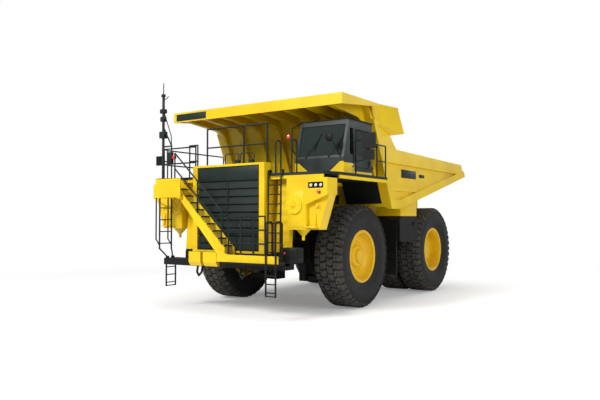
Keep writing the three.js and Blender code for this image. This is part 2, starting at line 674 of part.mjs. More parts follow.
function hoistRod() {
  const [y, z] = HOIST.eye;
  return join(
    hoistBar(240, hoistLength - 40, HOIST_TUBE.rod),
    bar([HOIST.x - 55, y, z], [HOIST.x + 55, y, z], 90, 16),
  );
}

// ---------------------------------------------------------------- front end
const HOUSING = { halfWidth: 1320, y: [-3200, -2500], z: [CROSS_BEAM.z[1] + SEAT_GAP, DECK_TOP_Z + 300] };
const GRILLE = { halfWidth: HOUSING.halfWidth - 180, z: [AXLE_Z + 230, DECK_TOP_Z + 240] };

function radiatorHousing() {
  const shell = box([-HOUSING.halfWidth, HOUSING.halfWidth], HOUSING.y, HOUSING.z);
  const through = [HOUSING.y[0] - 10, HOUSING.y[1] + 10];
  const opening = box([-GRILLE.halfWidth, GRILLE.halfWidth], through, GRILLE.z);
  return cut(shell, opening);
}

// The core and its guard: a flat header above nine sloping louvres.
function radiator() {
  const halfWidth = GRILLE.halfWidth - SEAT_GAP;
  const [bottom, top] = [GRILLE.z[0] + SEAT_GAP, GRILLE.z[1] - SEAT_GAP];
  const faceY = HOUSING.y[0] + 20;
  const headerZ = top - 400;
  const louvres = 9;
  const pitch = (headerZ - bottom) / louvres;
  const outline = [[HOUSING.y[1] - 60, bottom]];
  for (let i = 0; i < louvres; i += 1) {
    outline.push([faceY, bottom + i * pitch]);
    outline.push([faceY + 60, bottom + (i + 0.85) * pitch]);
  }
  outline.push([faceY, headerZ], [faceY, top], [HOUSING.y[1] - 60, top]);
  return prismX(outline.reverse(), [-halfWidth, halfWidth]);
}

const BEAM = { y: [-3400, RAIL_FRONT_Y - SEAT_GAP], z: [AXLE_Z - 230, AXLE_Z - 40], x: [-2300, 2100] };
const STEP_TUBE = 25;
const STEP_Y = BUMPER_FRONT_Y + STEP_TUBE + 5;
const PLATFORM = {
  x: [100, 2150],
  y: [STEP_Y + STEP_TUBE + SEAT_GAP, -3260],
  topZ: AXLE_Z + 160,
  floorZ: AXLE_Z + 100,
  band: 60,
};
const STEP_BOTTOM_Z = 640;

function bumperBeam() {
  const step = PLATFORM.x[0] + 370;
  return join(
    box(BEAM.x, BEAM.y, BEAM.z),
    box([step, PLATFORM.x[1]], [BUMPER_FRONT_Y + 20, BEAM.y[0] + 20], [BEAM.z[1] - 50, BEAM.z[1]]),
    boardingSteps(),
    sideSteps(BEAM.x[0] + 40, [BEAM.y[0] + 60, BEAM.y[1] - 60]),
  );
}

// Steps below the platform, whose stiles run on up in front of it as two hooped handholds.
function boardingSteps() {
  const y = STEP_Y;
  const [x0, x1] = [PLATFORM.x[1] - 340, PLATFORM.x[1] - STEP_TUBE];
  const topZ = PLATFORM.topZ + 880;
  const footZ = PLATFORM.floorZ + SEAT_GAP;
  const hoop = (x) => pipe([
    [x, y, STEP_BOTTOM_Z],
    [x, y, topZ - 60],
    [x, y + 60, topZ],
    [x, y + 220, topZ],
    [x, y + 280, topZ - 60],
    [x, y + 280, footZ],
  ], STEP_TUBE);
  const topRungZ = BEAM.z[0];
  const at = (t) => [x0, y, STEP_BOTTOM_Z + (topRungZ - STEP_BOTTOM_Z) * t];
  return join(
    hoop(x0),
    hoop(x1),
    ladderRungs(3, at, [x1 - x0, 0]),
    bar([x0 - 20, y, STEP_BOTTOM_Z + 20], [x1 + 20, y, STEP_BOTTOM_Z + 20], RUNG_RADIUS),
  );
}

// Steps that hang from the end of the beam, with their stiles one behind the other.
function sideSteps(x, y) {
  const topZ = BEAM.z[0] + 30;
  const at = (t) => [x, y[0], STEP_BOTTOM_Z + (topZ - STEP_BOTTOM_Z) * t];
  return join(
    pipe([[x, y[0], topZ], [x, y[0], STEP_BOTTOM_Z]], STEP_TUBE),
    pipe([[x, y[1], topZ], [x, y[1], STEP_BOTTOM_Z]], STEP_TUBE),
    ladderRungs(3, at, [0, y[1] - y[0]]),
    bar([x, y[0] - 20, STEP_BOTTOM_Z + 20], [x, y[1] + 20, STEP_BOTTOM_Z + 20], RUNG_RADIUS),
  );
}

function bumperPlatform() {
  const bottom = BEAM.z[1] + SEAT_GAP;
  const [x0, x1] = PLATFORM.x;
  const band = prismY([
    [x0, bottom],
    [x1, bottom],
    [x1, PLATFORM.topZ],
    [x0 + 370, PLATFORM.topZ],
    [x0 + 30, PLATFORM.topZ + 130],
    [x0, PLATFORM.topZ + 110],
  ], [PLATFORM.y[0], PLATFORM.y[0] + PLATFORM.band]);
  const floor = box([x0, x1], [PLATFORM.y[0] + 40, PLATFORM.y[1]], [bottom, PLATFORM.floorZ]);
  const podRearY = -3300;
  const link = box([PODS[0][0], x0 + 50], [podRearY - 80, podRearY], [bottom, bottom + 60]);
  return join(band, floor, link, PODS.map((x) => bumperPod(x, podRearY)));
}

const PODS = [[-1150, -700], [-600, -100]];

// A box with its lower front corner cut off, in front of the beam and standing above it.
function bumperPod(x, rearY) {
  const frontY = -3540;
  const bottom = BEAM.z[1] + SEAT_GAP;
  const above = box(x, [frontY, rearY], [bottom, AXLE_Z + 190]);
  const below = prismX([
    [frontY, bottom - 60],
    [frontY + 70, BEAM.z[0] + 20],
    [BEAM.y[0] - SEAT_GAP, BEAM.z[0] + 20],
    [BEAM.y[0] - SEAT_GAP, bottom + 20],
    [frontY, bottom + 20],
  ], x);
  return join(above, below);
}

// The rail along the front of the platform, ahead of the radiator.
function platformRail() {
  const y = PLATFORM.y[0] + PLATFORM.band + 50;
  const footZ = PLATFORM.floorZ + SEAT_GAP;
  const x = [430, 860, 1290, 1680];
  const topZ = PLATFORM.topZ + 1030;
  const rise = (topZ - footZ) / 3;
  const line = (z) => bar([x[0] - 10, y, z], [x[3] + 10, y, z], TUBE);
  return join(
    x.map((place) => pipe([[place, y, footZ], [place, y, topZ]], TUBE)),
    [1, 2, 3].map((step) => line(footZ + step * rise)),
  );
}

// ---------------------------------------------------------------- decks
const INNER_DECK_X = HOUSING.halfWidth + SEAT_GAP;
const deckZ = [DECK_UNDER_Z, DECK_TOP_Z];
const skirtZ = [DECK_UNDER_Z - DECK_SKIRT, DECK_UNDER_Z + 10];

// A side deck in plan, with its outer front corner cut off.
function deckPlan() {
  return [
    [INNER_DECK_X, DECK_FRONT_Y],
    [DECK_HALF_WIDTH - 150, DECK_FRONT_Y],
    [DECK_HALF_WIDTH, DECK_FRONT_Y + 500],
    [DECK_HALF_WIDTH, DECK_REAR_Y],
    [INNER_DECK_X, DECK_REAR_Y],
  ];
}

function sideDeck() {
  const skirt = 50;
  return join(
    prismZ(deckPlan(), deckZ),
    box([INNER_DECK_X, DECK_HALF_WIDTH - 170], [DECK_FRONT_Y, DECK_FRONT_Y + skirt], skirtZ),
    box([DECK_HALF_WIDTH - skirt, DECK_HALF_WIDTH], [DECK_FRONT_Y + 550, DECK_REAR_Y], skirtZ),
  );
}

const LANDING = {
  x: [-2250, -1750],
  y: [BUMPER_FRONT_Y + 35, DECK_FRONT_Y - SEAT_GAP],
  z: [DECK_UNDER_Z - 20, DECK_TOP_Z - 60],
  fasciaEndX: -1250,
  fasciaZ: [DECK_TOP_Z - 630, DECK_TOP_Z - 80],
};

function deckRight() {
  return join(mirrored(sideDeck()), box(LANDING.x, [LANDING.y[0], DECK_FRONT_Y + 40], LANDING.z));
}

function deckCentre() {
  const halfWidth = HOUSING.halfWidth;
  return box([-halfWidth, halfWidth], [HOUSING.y[1] + SEAT_GAP, DECK_REAR_Y], deckZ);
}

// ---------------------------------------------------------------- side boxes and mudguards
const SIDE_BOX = {
  y: [DECK_FRONT_Y, DECK_FRONT_Y + 500],
  bottomZ: AXLE_Z + 840,
  topZ: DECK_UNDER_Z - DECK_SKIRT - SEAT_GAP,
};

// The air cleaner box: a proud front sheet, a recessed lower corner, a round cover and a dust cup.
function sideBox() {
  const { y, bottomZ, topZ } = SIDE_BOX;
  const cornerZ = topZ - 440;
  const proud = prismY([
    [1960, bottomZ],
    [2530, bottomZ],
    [2530, topZ - 700],
    [3200, cornerZ],
    [3200, topZ],
    [1920, topZ],
    [1920, topZ - 560],
    [1960, topZ - 640],
  ], y);
  const recessed = prismY([
    [2500, bottomZ],
    [2880, bottomZ],
    [3170, cornerZ - 10],
    [3170, cornerZ + 30],
    [2500, cornerZ + 30],
  ], [y[0] + 130, y[1] - 20]);
  const lampRecess = box([2600, 3080], [y[0] - 10, y[0] + 60], [topZ - 270, topZ - 110]);
  const cover = bar([2180, y[0] - 60, topZ - 700], [2180, y[0] + 40, topZ - 700], 250, 20);
  const cup = turnedZ([[0, -290], [40, -290], [40, -180], [225, 20], [225, 60], [0, 60]],
    [2290, y[0] + 260, bottomZ]);
  return join(cut(proud, lampRecess), recessed, cover, cup);
}

function mudguard() {
  const topZ = DECK_UNDER_Z - SEAT_GAP;
  const thickness = 45;
  const frontY = -TYRE_RADIUS - 520;
  const rearTopY = DECK_REAR_Y + 50;
  const rearY = rearTopY + 320;
  const kneeZ = AXLE_Z + 1590;
  return prismX([
    [frontY - 350, AXLE_Z + 960],
    [frontY - 350 + thickness, AXLE_Z + 960],
    [frontY + thickness, topZ - thickness],
    [rearTopY - thickness, topZ - thickness],
    [rearY - thickness, kneeZ],
    [rearY, kneeZ],
    [rearTopY, topZ],
    [frontY, topZ],
  ], [1650, DECK_HALF_WIDTH - 370]);
}

// ---------------------------------------------------------------- cab
const CAB = {
  x: [DECK_HALF_WIDTH - 1770, DECK_HALF_WIDTH - 170],
  rearY: -320,
  frontY: -1950,
  topFrontY: -1660,
  sillZ: DECK_TOP_Z + 450,
  topZ: DECK_TOP_Z + 1520,
};
const CAB_WALL = 70;
const DOOR = { y: [-1350, -450], z: [DECK_TOP_Z + 95, DECK_TOP_Z + 1350], gap: 6 };
const DOOR_PIN_OUT = 20;

const CAB_RAKE = (CAB.topFrontY - CAB.frontY) / (CAB.topZ - CAB.sillZ);

const cabFrontAt = (z) => CAB.frontY + CAB_RAKE * (z - CAB.sillZ);

function cabOutline(inset) {
  const bottom = DECK_TOP_Z + SEAT_GAP + inset;
  return [
    [CAB.frontY + inset, bottom],
    [CAB.rearY - inset, bottom],
    [CAB.rearY - inset, CAB.topZ - inset],
    [cabFrontAt(CAB.topZ - inset) + inset, CAB.topZ - inset],
    [CAB.frontY + inset, CAB.sillZ],
  ];
}

const WINDSCREEN = { x: [CAB.x[0] + 80, CAB.x[1] - 80], z: [CAB.sillZ + 60, CAB.topZ - 130] };
const REAR_WINDOW = { x: [CAB.x[0] + 250, CAB.x[1] - 250], z: [CAB.sillZ + 150, CAB.topZ - 220] };

function hingeLug(z, toward) {
  const x = CAB.x[1] + DOOR_PIN_OUT;
  const y = DOOR.y[1];
  return join(
    bar([x, y, z], [x, y, z + 60], 18, 12),
    box([CAB.x[1] - 5, x], [Math.min(y, y + toward), Math.max(y, y + toward)], [z, z + 60]),
  );
}

const HINGE_HEIGHTS = [DOOR.z[0] + 200, DOOR.z[1] - 300];

function cabShell() {
  const room = prismX(cabOutline(CAB_WALL), [CAB.x[0] + CAB_WALL, CAB.x[1] - CAB_WALL]);
  const shell = cut(prismX(cabOutline(0), CAB.x), room);
  const windscreen = box(WINDSCREEN.x, [CAB.frontY - 50, CAB.topFrontY + 160], WINDSCREEN.z);
  const rearWindow = box(REAR_WINDOW.x, [CAB.rearY - 100, CAB.rearY + 50], REAR_WINDOW.z);
  const through = [CAB.x[0] - 50, CAB.x[1] + 50];
  const doorways = box(through, DOOR.y, DOOR.z);
  const quarters = box(through, [DOOR.y[0] - 260, DOOR.y[0] - 60], [CAB.sillZ + 100, DOOR.z[1] - 60]);
  const lugs = HINGE_HEIGHTS.map((z) => hingeLug(z, 40));
  return join(cut(shell, windscreen, rearWindow, doorways, quarters), lugs, lugs.map(inboardOf));
}

function windscreenGlass() {
  const [z0, z1] = [WINDSCREEN.z[0] + SEAT_GAP, WINDSCREEN.z[1] - SEAT_GAP];
  const depth = 25;
  return prismX([
    [cabFrontAt(z0) + depth, z0],
    [cabFrontAt(z0) + depth + 12, z0],
    [cabFrontAt(z1) + depth + 12, z1],
    [cabFrontAt(z1) + depth, z1],
  ], [WINDSCREEN.x[0] + SEAT_GAP, WINDSCREEN.x[1] - SEAT_GAP]);
}

function cabRearGlass() {
  const [x0, x1] = REAR_WINDOW.x;
  const [z0, z1] = REAR_WINDOW.z;
  const thickness = [CAB.rearY - 42, CAB.rearY - 30];
  return box([x0 + SEAT_GAP, x1 - SEAT_GAP], thickness, [z0 + SEAT_GAP, z1 - SEAT_GAP]);
}

const DOOR_WINDOW = { y: [DOOR.y[0] + 75, DOOR.y[1] - 75], z: [DOOR.z[0] + 480, DOOR.z[1] - 75] };

function cabDoor() {
  const { y, z, gap } = DOOR;
  const panel = box([CAB.x[1] - CAB_WALL + 10, CAB.x[1]], [y[0] + gap, y[1] - gap], [z[0] + gap, z[1] - gap]);
  const window = box([CAB.x[1] - CAB_WALL, CAB.x[1] + 10], DOOR_WINDOW.y, DOOR_WINDOW.z);
  const handle = box([CAB.x[1] - 5, CAB.x[1] + 35], [y[0] + 60, y[0] + 90], [z[0] + 300, z[0] + 440]);
  const knuckles = HINGE_HEIGHTS.map((height) => hingeLug(height + 60 + RUNNING_GAP, -50));
  return join(cut(panel, window), handle, knuckles);
}

function cabDoorGlass() {
  const [y0, y1] = DOOR_WINDOW.y;
  const [z0, z1] = DOOR_WINDOW.z;
  const x = CAB.x[1] - 35;
  return box([x, x + 8], [y0 + SEAT_GAP, y1 - SEAT_GAP], [z0 + SEAT_GAP, z1 - SEAT_GAP]);
}

// The inboard door is the outboard one turned over about the cab's own middle.
function inboardOf(solid) {
  return mirrored(solid.translate([-(CAB.x[0] + CAB.x[1]), 0, 0]));
}

const CAB_FLOOR_Z = DECK_TOP_Z + SEAT_GAP + CAB_WALL;

function operatorSeat() {
  const x = (CAB.x[0] + CAB.x[1]) / 2 + 150;
  const y = -850;
  const z = CAB_FLOOR_Z + SEAT_GAP;
  return join(
    box([x - 180, x + 180], [y - 200, y + 200], [z, z + 320]),
    box([x - 270, x + 270], [y - 280, y + 260], [z + 300, z + 450]),
    plate([
      [x - 250, y + 180, z + 400],
      [x + 250, y + 180, z + 400],
      [x + 230, y + 330, z + 1080],
      [x - 230, y + 330, z + 1080],
    ], [0, 120, 0]),
    box([x - 330, x - 270], [y - 150, y + 240], [z + 560, z + 620]),
    box([x + 270, x + 330], [y - 150, y + 240], [z + 560, z + 620]),
    box([x - 330, x + 330], [y + 180, y + 240], [z + 420, z + 600]),
  );
}

function dashboard() {
  const x = (CAB.x[0] + CAB.x[1]) / 2 + 150;
  const z = CAB_FLOOR_Z + SEAT_GAP;
  const frontY = CAB.frontY + CAB_WALL + SEAT_GAP;
  const console = prismX([
    [frontY, z],
    [frontY + 260, z],
    [frontY + 330, z + 420],
    [frontY + 200, CAB.sillZ + 40],
    [frontY + 60, CAB.sillZ - 10],
    [frontY, CAB.sillZ - 60],
  ], [CAB.x[0] + CAB_WALL + 10, CAB.x[1] - CAB_WALL - 10]);
  const column = bar([x, frontY + 200, z + 300], [x, frontY + 420, z + 640], 45, 10);
  const hubPlace = new THREE.Matrix4().makeTranslation(x, frontY + 425, z + 645);
  const wheel = new THREE.TorusGeometry(230, 16, 6, 20);
  wheel.rotateX(-0.57);
  wheel.applyMatrix4(hubPlace);
  const spoke = bar([x - 225, frontY + 425, z + 645], [x + 225, frontY + 425, z + 645], 18, 6);
  return join(console, column, toSolid(wheel), spoke);
}

// ---------------------------------------------------------------- ladders, rails, mast and mirrors
const TUBE = 22;
const RUNG_RADIUS = 16;
const POST_FOOT_Z = DECK_TOP_Z + SEAT_GAP;
const RAIL_HEIGHT = 950;

function ladderRungs(count, place, across) {
  const rungs = [];
  for (let i = 0; i < count; i += 1) {
    const [x, y, z] = place((i + 0.5) / count);
    rungs.push(bar([x, y, z], [x + across[0], y + across[1], z], RUNG_RADIUS));
  }
  return rungs;
}

// From the bumper platform to the left deck, leaning back.
function ladderLeft() {
  const foot = [1500, -3290, PLATFORM.floorZ + SEAT_GAP];
  const head = [1350, DECK_FRONT_Y - 40, DECK_TOP_Z + 60];
  const width = 420;
  const at = (t) => foot.map((value, axis) => value + (head[axis] - value) * t);
  const stile = (offset) => pipe([
    [foot[0] + offset, foot[1], foot[2] + 10],
    [head[0] + offset, head[1], head[2]],
    [head[0] + offset, head[1] + 100, head[2] + 20],
    [head[0] + offset, head[1] + 100, POST_FOOT_Z],
  ], STEP_TUBE);
  const pad = (offset) => {
    const x = foot[0] + offset;
    return box([x - 35, x + 35], [foot[1] - 35, foot[1] + 25], [foot[2], foot[2] + 40]);
  };
  return join(stile(0), stile(width), pad(0), pad(width), ladderRungs(9, at, [width, 0]));
}

// From the end of the bumper beam straight up to the landing of the right deck.
function ladderRight() {
  const x = LANDING.x[0] - 30;
  const stileY = [-3600, -3120];
  const [footZ, headZ] = [AXLE_Z + 220, DECK_TOP_Z - 40];
  const at = (t) => [x, stileY[0], footZ + (headZ - footZ) * t];
  const seatZ = BEAM.z[1] + SEAT_GAP;
  const sides = stileY.map((y) => {
    const footY = Math.max(y, BEAM.y[0] + 60);
    return join(
      pipe([[x, y, headZ], [x, y, footZ]], STEP_TUBE),
      pipe([[x, y, LANDING.z[1] - 20], [LANDING.x[0] - SEAT_GAP, y, LANDING.z[1] - 20]], STEP_TUBE),
      pipe([[x, y, footZ + 30], [x + 60, footY, seatZ + 30]], STEP_TUBE),
      box([x + 30, x + 100], [footY - 40, footY + 40], [seatZ, seatZ + 60]),
      pipe([
        [x, y, footZ + 120],
        [x - 150, y, footZ + 300],
        [x - 150, y, headZ - 300],
        [x, y, headZ - 150],
      ], TUBE),
    );
  });
  return join(sides, ladderRungs(6, at, [0, stileY[1] - stileY[0]]));
}

const STAIR = {
  headX: LANDING.x[1] + SEAT_GAP,
  headZ: DECK_TOP_Z - 90,
  slope: 0.943,
  footX: 330,
  y: [PLATFORM.y[0] + PLATFORM.band + SEAT_GAP, -3240],
  stringer: 45,
  depth: 200,
  treads: 9,
};

const stairTopAt = (x) => STAIR.headZ - STAIR.slope * (x - STAIR.headX);

// The sloping stairway in front of the radiator and the yellow sheets that close in its landing.
function stairway() {
  const footZ = PLATFORM.floorZ + SEAT_GAP;
  const outline = [
    [STAIR.headX, stairTopAt(STAIR.headX) - STAIR.depth],
    [STAIR.headX, stairTopAt(STAIR.headX)],
    [STAIR.footX, stairTopAt(STAIR.footX)],
    [STAIR.footX, footZ],
    [PLATFORM.x[0] + 20, footZ],
  ];
  const near = prismY(outline, [STAIR.y[0], STAIR.y[0] + STAIR.stringer]);
  const far = prismY(outline, [STAIR.y[1] - STAIR.stringer, STAIR.y[1]]);
  const pitch = (STAIR.footX - STAIR.headX - 60) / (STAIR.treads + 0.5);
  const treads = [];
  for (let i = 1; i <= STAIR.treads; i += 1) {
    const x = STAIR.headX + i * pitch;
    const z = stairTopAt(x) - 90;
    treads.push(box([x - 110, x + 110], [STAIR.y[0] + 20, STAIR.y[1] - 20], [z - 20, z + 20]));
  }
  return join(near, far, treads, landingSheets());
}

function landingSheets() {
  const { x, y, z, fasciaEndX, fasciaZ } = LANDING;
  const fascia = box([x[0], fasciaEndX], [BUMPER_FRONT_Y, y[0] - SEAT_GAP], fasciaZ);
  const side = box([x[0], x[0] + 40], [BUMPER_FRONT_Y, DECK_FRONT_Y - 80], [fasciaZ[0], z[0] - SEAT_GAP]);
  const ties = [STAIR.headX + 60, fasciaEndX - 100].map((place) => {
    const tieZ = stairTopAt(place) - STAIR.depth;
    return box([place - 50, place + 50], [y[0] - 10, STAIR.y[0] + 10], [tieZ, tieZ + 80]);
  });
  return join(fascia, side, ties);
}

function stairHandrail() {
  const y = STAIR.y[0] + STAIR.stringer / 2;
  const high = 900;
  const ends = [STAIR.headX + 150, 200];
  const posts = [ends[0], -700, ends[1]].map((x) => {
    const [left, right] = [x - 25, x + 25];
    const shoe = prismY([
      [left, stairTopAt(left) + SEAT_GAP],
      [left, stairTopAt(left) + 60],
      [right, stairTopAt(left) + 60],
      [right, stairTopAt(right) + SEAT_GAP],
    ], [y - 15, y + 15]);
    return join(shoe, pipe([[x, y, stairTopAt(x) + 20 + SEAT_GAP], [x, y, stairTopAt(x) + high]], TUBE));
  });
  const line = (rise) => pipe(ends.map((x) => [x, y, stairTopAt(x) + rise]), TUBE);
  return join(posts, line(high), line(high / 2));
}

// Posts on a deck, joined by a top and a middle rail.
function fence(points, height = RAIL_HEIGHT) {
  const posts = points.map(([x, y]) => pipe([[x, y, POST_FOOT_Z], [x, y, DECK_TOP_Z + height]], TUBE));
  const line = (z) => pipe(points.map(([x, y]) => [x, y, z]), TUBE);
  return join(posts, line(DECK_TOP_Z + height), line(DECK_TOP_Z + height / 2));
}

// The two hooped posts of the gate at the head of the left ladder, on one sill.
function guardrailLeft() {
  const y = [DECK_FRONT_Y + 110, DECK_FRONT_Y + 350];
  const x = [1475, 2010];
  const topZ = DECK_TOP_Z + 900;
  const hoop = (place) => pipe([
    [place, y[0], POST_FOOT_Z],
    [place, y[0], topZ - 50],
    [place, y[0] + 50, topZ],
    [place, y[1] - 50, topZ],
    [place, y[1], topZ - 50],
    [place, y[1], POST_FOOT_Z],
  ], TUBE);
  return join(x.map(hoop), box(x, [y[1] - 30, y[1] + 30], [POST_FOOT_Z, POST_FOOT_Z + 20]));
}

function guardrailRear() {
  const edge = DECK_HALF_WIDTH - 40;
  const rail = fence([[edge, -250], [edge, DECK_REAR_Y - 40]]);
  return rail.translate([0, 0, -20]);
}

function guardrailRight() {
  const edge = DECK_HALF_WIDTH - 40;
  return fence([
    [-INNER_DECK_X - 40, DECK_FRONT_Y + 40],
    [LANDING.x[1] + 60, DECK_FRONT_Y + 40],
    [LANDING.x[1] + 60, DECK_FRONT_Y + 300],
    [-3050, DECK_FRONT_Y + 300],
    [-edge, DECK_FRONT_Y + 600],
    [-edge, -1000],
    [-edge, DECK_REAR_Y - 40],
  ]);
}

// The tall guard on top of the radiator housing.
function guardFrame() {
  const y = -2800;
  const footZ = HOUSING.z[1] + SEAT_GAP;
  const topZ = DECK_TOP_Z + 1420;
  const half = 1120;
  const posts = [-half, half / 4, half].map((x) => pipe([[x, y, footZ], [x, y, topZ]], 26));
  const line = (z, radius) => pipe([[-half, y, z], [half, y, z]], radius);
  return join(posts, line(topZ, 26), line((footZ + topZ) / 2, TUBE));
}

function mast() {
  const [x, y] = [LANDING.x[0] + 50, BUMPER_FRONT_Y + 250];
  const footZ = DECK_TOP_Z - 60 + SEAT_GAP;
  return join(
    pipe([[x, y, footZ], [x, y, DECK_TOP_Z + 2450]], 40, 8),
    pipe([[x, y, DECK_TOP_Z + 2400], [x, y, DECK_TOP_Z + 2800]], 15),
    pipe([[x, y, DECK_TOP_Z + 1500], [x + 350, y, DECK_TOP_Z + 900], [x + 350, y, footZ]], TUBE),
    pipe([[x, y, DECK_TOP_Z + 900], [x + 350, y, DECK_TOP_Z + 900]], TUBE),
    box([x - 90, x + 90], [y - 60, y + 60], [DECK_TOP_Z + 1900, DECK_TOP_Z + 2020]),
  );
}

function mirrorLeft() {
  const [x, y] = [DECK_HALF_WIDTH - 60, -1480];
  const headX = 3600;
  return join(
    pipe([[x, y, POST_FOOT_Z], [x, y, DECK_TOP_Z + 900], [headX, y, DECK_TOP_Z + 1000]], TUBE),
    pipe([[headX, y, DECK_TOP_Z + 1010], [headX, y, DECK_TOP_Z + 400], [x, y, DECK_TOP_Z + 350]], TUBE),
    box([headX - 200, headX + 200], [y - 45, y + 45], [DECK_TOP_Z + 690, DECK_TOP_Z + 1110]),
    box([headX - 160, headX + 160], [y - 40, y + 40], [DECK_TOP_Z + 370, DECK_TOP_Z + 640]),
  );
}

function mirrorRight() {
  const [x, y] = [-DECK_HALF_WIDTH + 120, -2300];
  const headX = -3640;
  return join(
    pipe([[x, y, POST_FOOT_Z], [x, y, DECK_TOP_Z + 570], [headX, y, DECK_TOP_Z + 650]], TUBE),
    box([headX - 160, headX + 160], [y - 45, y + 45], [DECK_TOP_Z + 500, DECK_TOP_Z + 800]),
  );
}

// ---------------------------------------------------------------- tanks
const TANK_X = [HOIST.x + 145, 2750];

function roundedTankOutline(y, z, corner) {
  return [
    [y[0] + corner, z[0]], [y[1] - corner, z[0]], [y[1], z[0] + corner], [y[1], z[1] - corner],
    [y[1] - corner, z[1]], [y[0] + corner, z[1]], [y[0], z[1] - corner], [y[0], z[0] + corner],
  ];
}

// The tank behind the front tyre, with the rubber flap that hangs from its front.
function tank() {
  const flap = box([1780, 2640], [TANK_Y[0] - 40, TANK_Y[0] + 20], [AXLE_Z - 700, AXLE_Z + 1000]);
  return join(prismX(roundedTankOutline(TANK_Y, [TANK_BOTTOM_Z, AXLE_Z + 1220], 90), TANK_X), flap);
}

// The locker on the left tank, cut to follow the rising underside of the bed.
function storageBox() {
  const bottom = AXLE_Z + 1220 + SEAT_GAP;
  const [y0, y1] = [TANK_Y[0] + 60, TANK_Y[1] - 60];
  return prismX([
    [y0, bottom],
    [y1, bottom],
    [y1, bedBottom(y1) - 60],
    [y0, bedBottom(y0) - 60],
  ], [TANK_X[1] - 900, TANK_X[1]]);
}

// ---------------------------------------------------------------- the truck
addPart("frame", frame(), BLACK);
addPart("engine_block", engineBlock(), CAST);
addPart("transmission", transmission(), CAST);
addPart("rear_axle", rearAxle(), CAST);
addPart("radiator_housing", radiatorHousing(), YELLOW);
addPart("radiator", radiator(), DARK);
addPart("bumper_beam", bumperBeam(), BLACK);
addPart("bumper_platform", bumperPlatform(), YELLOW);
addPart("platform_rail", platformRail(), DARK);
addPart("stairway", stairway(), YELLOW);
addPart("stair_handrail", stairHandrail(), DARK);
addPart("deck_left", join(sideDeck(), guardrailRear()), DARK);
addPart("deck_right", deckRight(), DARK);
addPart("deck_centre", deckCentre(), DARK);
addPair("side_box", sideBox(), YELLOW);
addPair("mudguard", mudguard(), BLACK);
addPart("ladder_left", ladderLeft(), DARK);
addPart("ladder_right", ladderRight(), DARK);
addPart("guardrail_left", guardrailLeft(), DARK);
addPart("guardrail_right", guardrailRight(), DARK);
addPart("guard_frame", guardFrame(), DARK);
addPart("mast", mast(), DARK);
addPart("mirror_left", mirrorLeft(), BLACK);
addPart("mirror_right", mirrorRight(), BLACK);
addPart("fuel_tank", tank(), BLACK);
addPart("hydraulic_tank", mirrored(tank()), BLACK);
addPart("storage_box", storageBox(), YELLOW);

addPart("cab_shell", cabShell(), CAB_PAINT);
addPart("windscreen", windscreenGlass(), CLEAR);
addPart("cab_rear_glass", cabRearGlass(), CLEAR);
addPart("operator_seat", operatorSeat(), FABRIC);
addPart("dashboard", dashboard(), BLACK);
addPart("cab_door_left", cabDoor(), CAB_PAINT);
addPart("cab_door_left_glass", cabDoorGlass(), CLEAR);
addPart("cab_door_right", inboardOf(cabDoor()), CAB_PAINT);
addPart("cab_door_right_glass", inboardOf(cabDoorGlass()), CLEAR);

addPair("knuckle", knuckle(), CAST);
addPair("front_rim", frontRim(), YELLOW);
addPair("front_tyre", tyre(FRONT_TYRE_X, 0), RUBBER);
addPair("rear_rims", rearRims(), YELLOW);
addPair("rear_outer_tyre", tyre(REAR_TYRE_X, WHEELBASE), RUBBER);
addPair("rear_inner_tyre", tyre(REAR_TYRE_X - DUAL_SPACING, WHEELBASE), RUBBER);

addPart("bed_floor", bedFloor(), YELLOW);
addPart("bed_front", bedFront(), YELLOW);
addPair("bed_side", bedSide(), YELLOW);
addPair("hoist_barrel", hoistBarrel(), BLACK);
addPair("hoist_stage", hoistStage(), STEEL);
addPair("hoist_rod", hoistRod(), STEEL);

export default truck;
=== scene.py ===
"""Studio picture of a rigid mining dump truck: finishes, tyres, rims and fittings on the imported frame."""
import json
import math

import bmesh
import bpy
from mathutils import Matrix, Vector


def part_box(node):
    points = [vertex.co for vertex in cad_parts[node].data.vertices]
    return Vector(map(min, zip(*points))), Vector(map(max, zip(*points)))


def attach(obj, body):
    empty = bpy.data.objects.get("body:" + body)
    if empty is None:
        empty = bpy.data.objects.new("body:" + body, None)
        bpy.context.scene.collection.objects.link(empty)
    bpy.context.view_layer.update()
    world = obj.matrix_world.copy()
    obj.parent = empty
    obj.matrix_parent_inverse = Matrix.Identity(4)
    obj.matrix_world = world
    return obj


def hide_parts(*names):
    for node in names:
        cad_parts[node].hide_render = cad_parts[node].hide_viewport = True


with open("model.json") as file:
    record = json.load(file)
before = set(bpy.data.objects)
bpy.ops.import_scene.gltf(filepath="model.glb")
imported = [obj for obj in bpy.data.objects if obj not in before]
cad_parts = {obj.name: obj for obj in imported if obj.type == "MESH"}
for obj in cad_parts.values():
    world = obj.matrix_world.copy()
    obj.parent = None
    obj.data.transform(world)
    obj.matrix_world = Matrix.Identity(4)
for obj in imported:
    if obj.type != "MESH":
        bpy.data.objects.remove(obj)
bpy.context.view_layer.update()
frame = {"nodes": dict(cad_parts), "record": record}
NODES = frame["nodes"]
BODY_OF = {node: body for body, members in frame["record"]["behaviour"]["bodies"].items() for node in members}
SLOT_OF = {entry["node"]: entry["material_slot"] for entry in frame["record"]["subparts"]}


# ------------------------------------------------------------------ camera and studio
def make_camera():
    data = bpy.data.cameras.new("camera")
    data.lens = 37.87
    data.sensor_width = 36.0
    data.clip_end = 300
    camera = bpy.data.objects.new("camera", data)
    camera.location = (11.728, -18.656, 2.658)
    camera.rotation_euler = (math.radians(90 + 1.701), 0, math.radians(34.248))
    bpy.context.scene.collection.objects.link(camera)
    bpy.context.scene.camera = camera


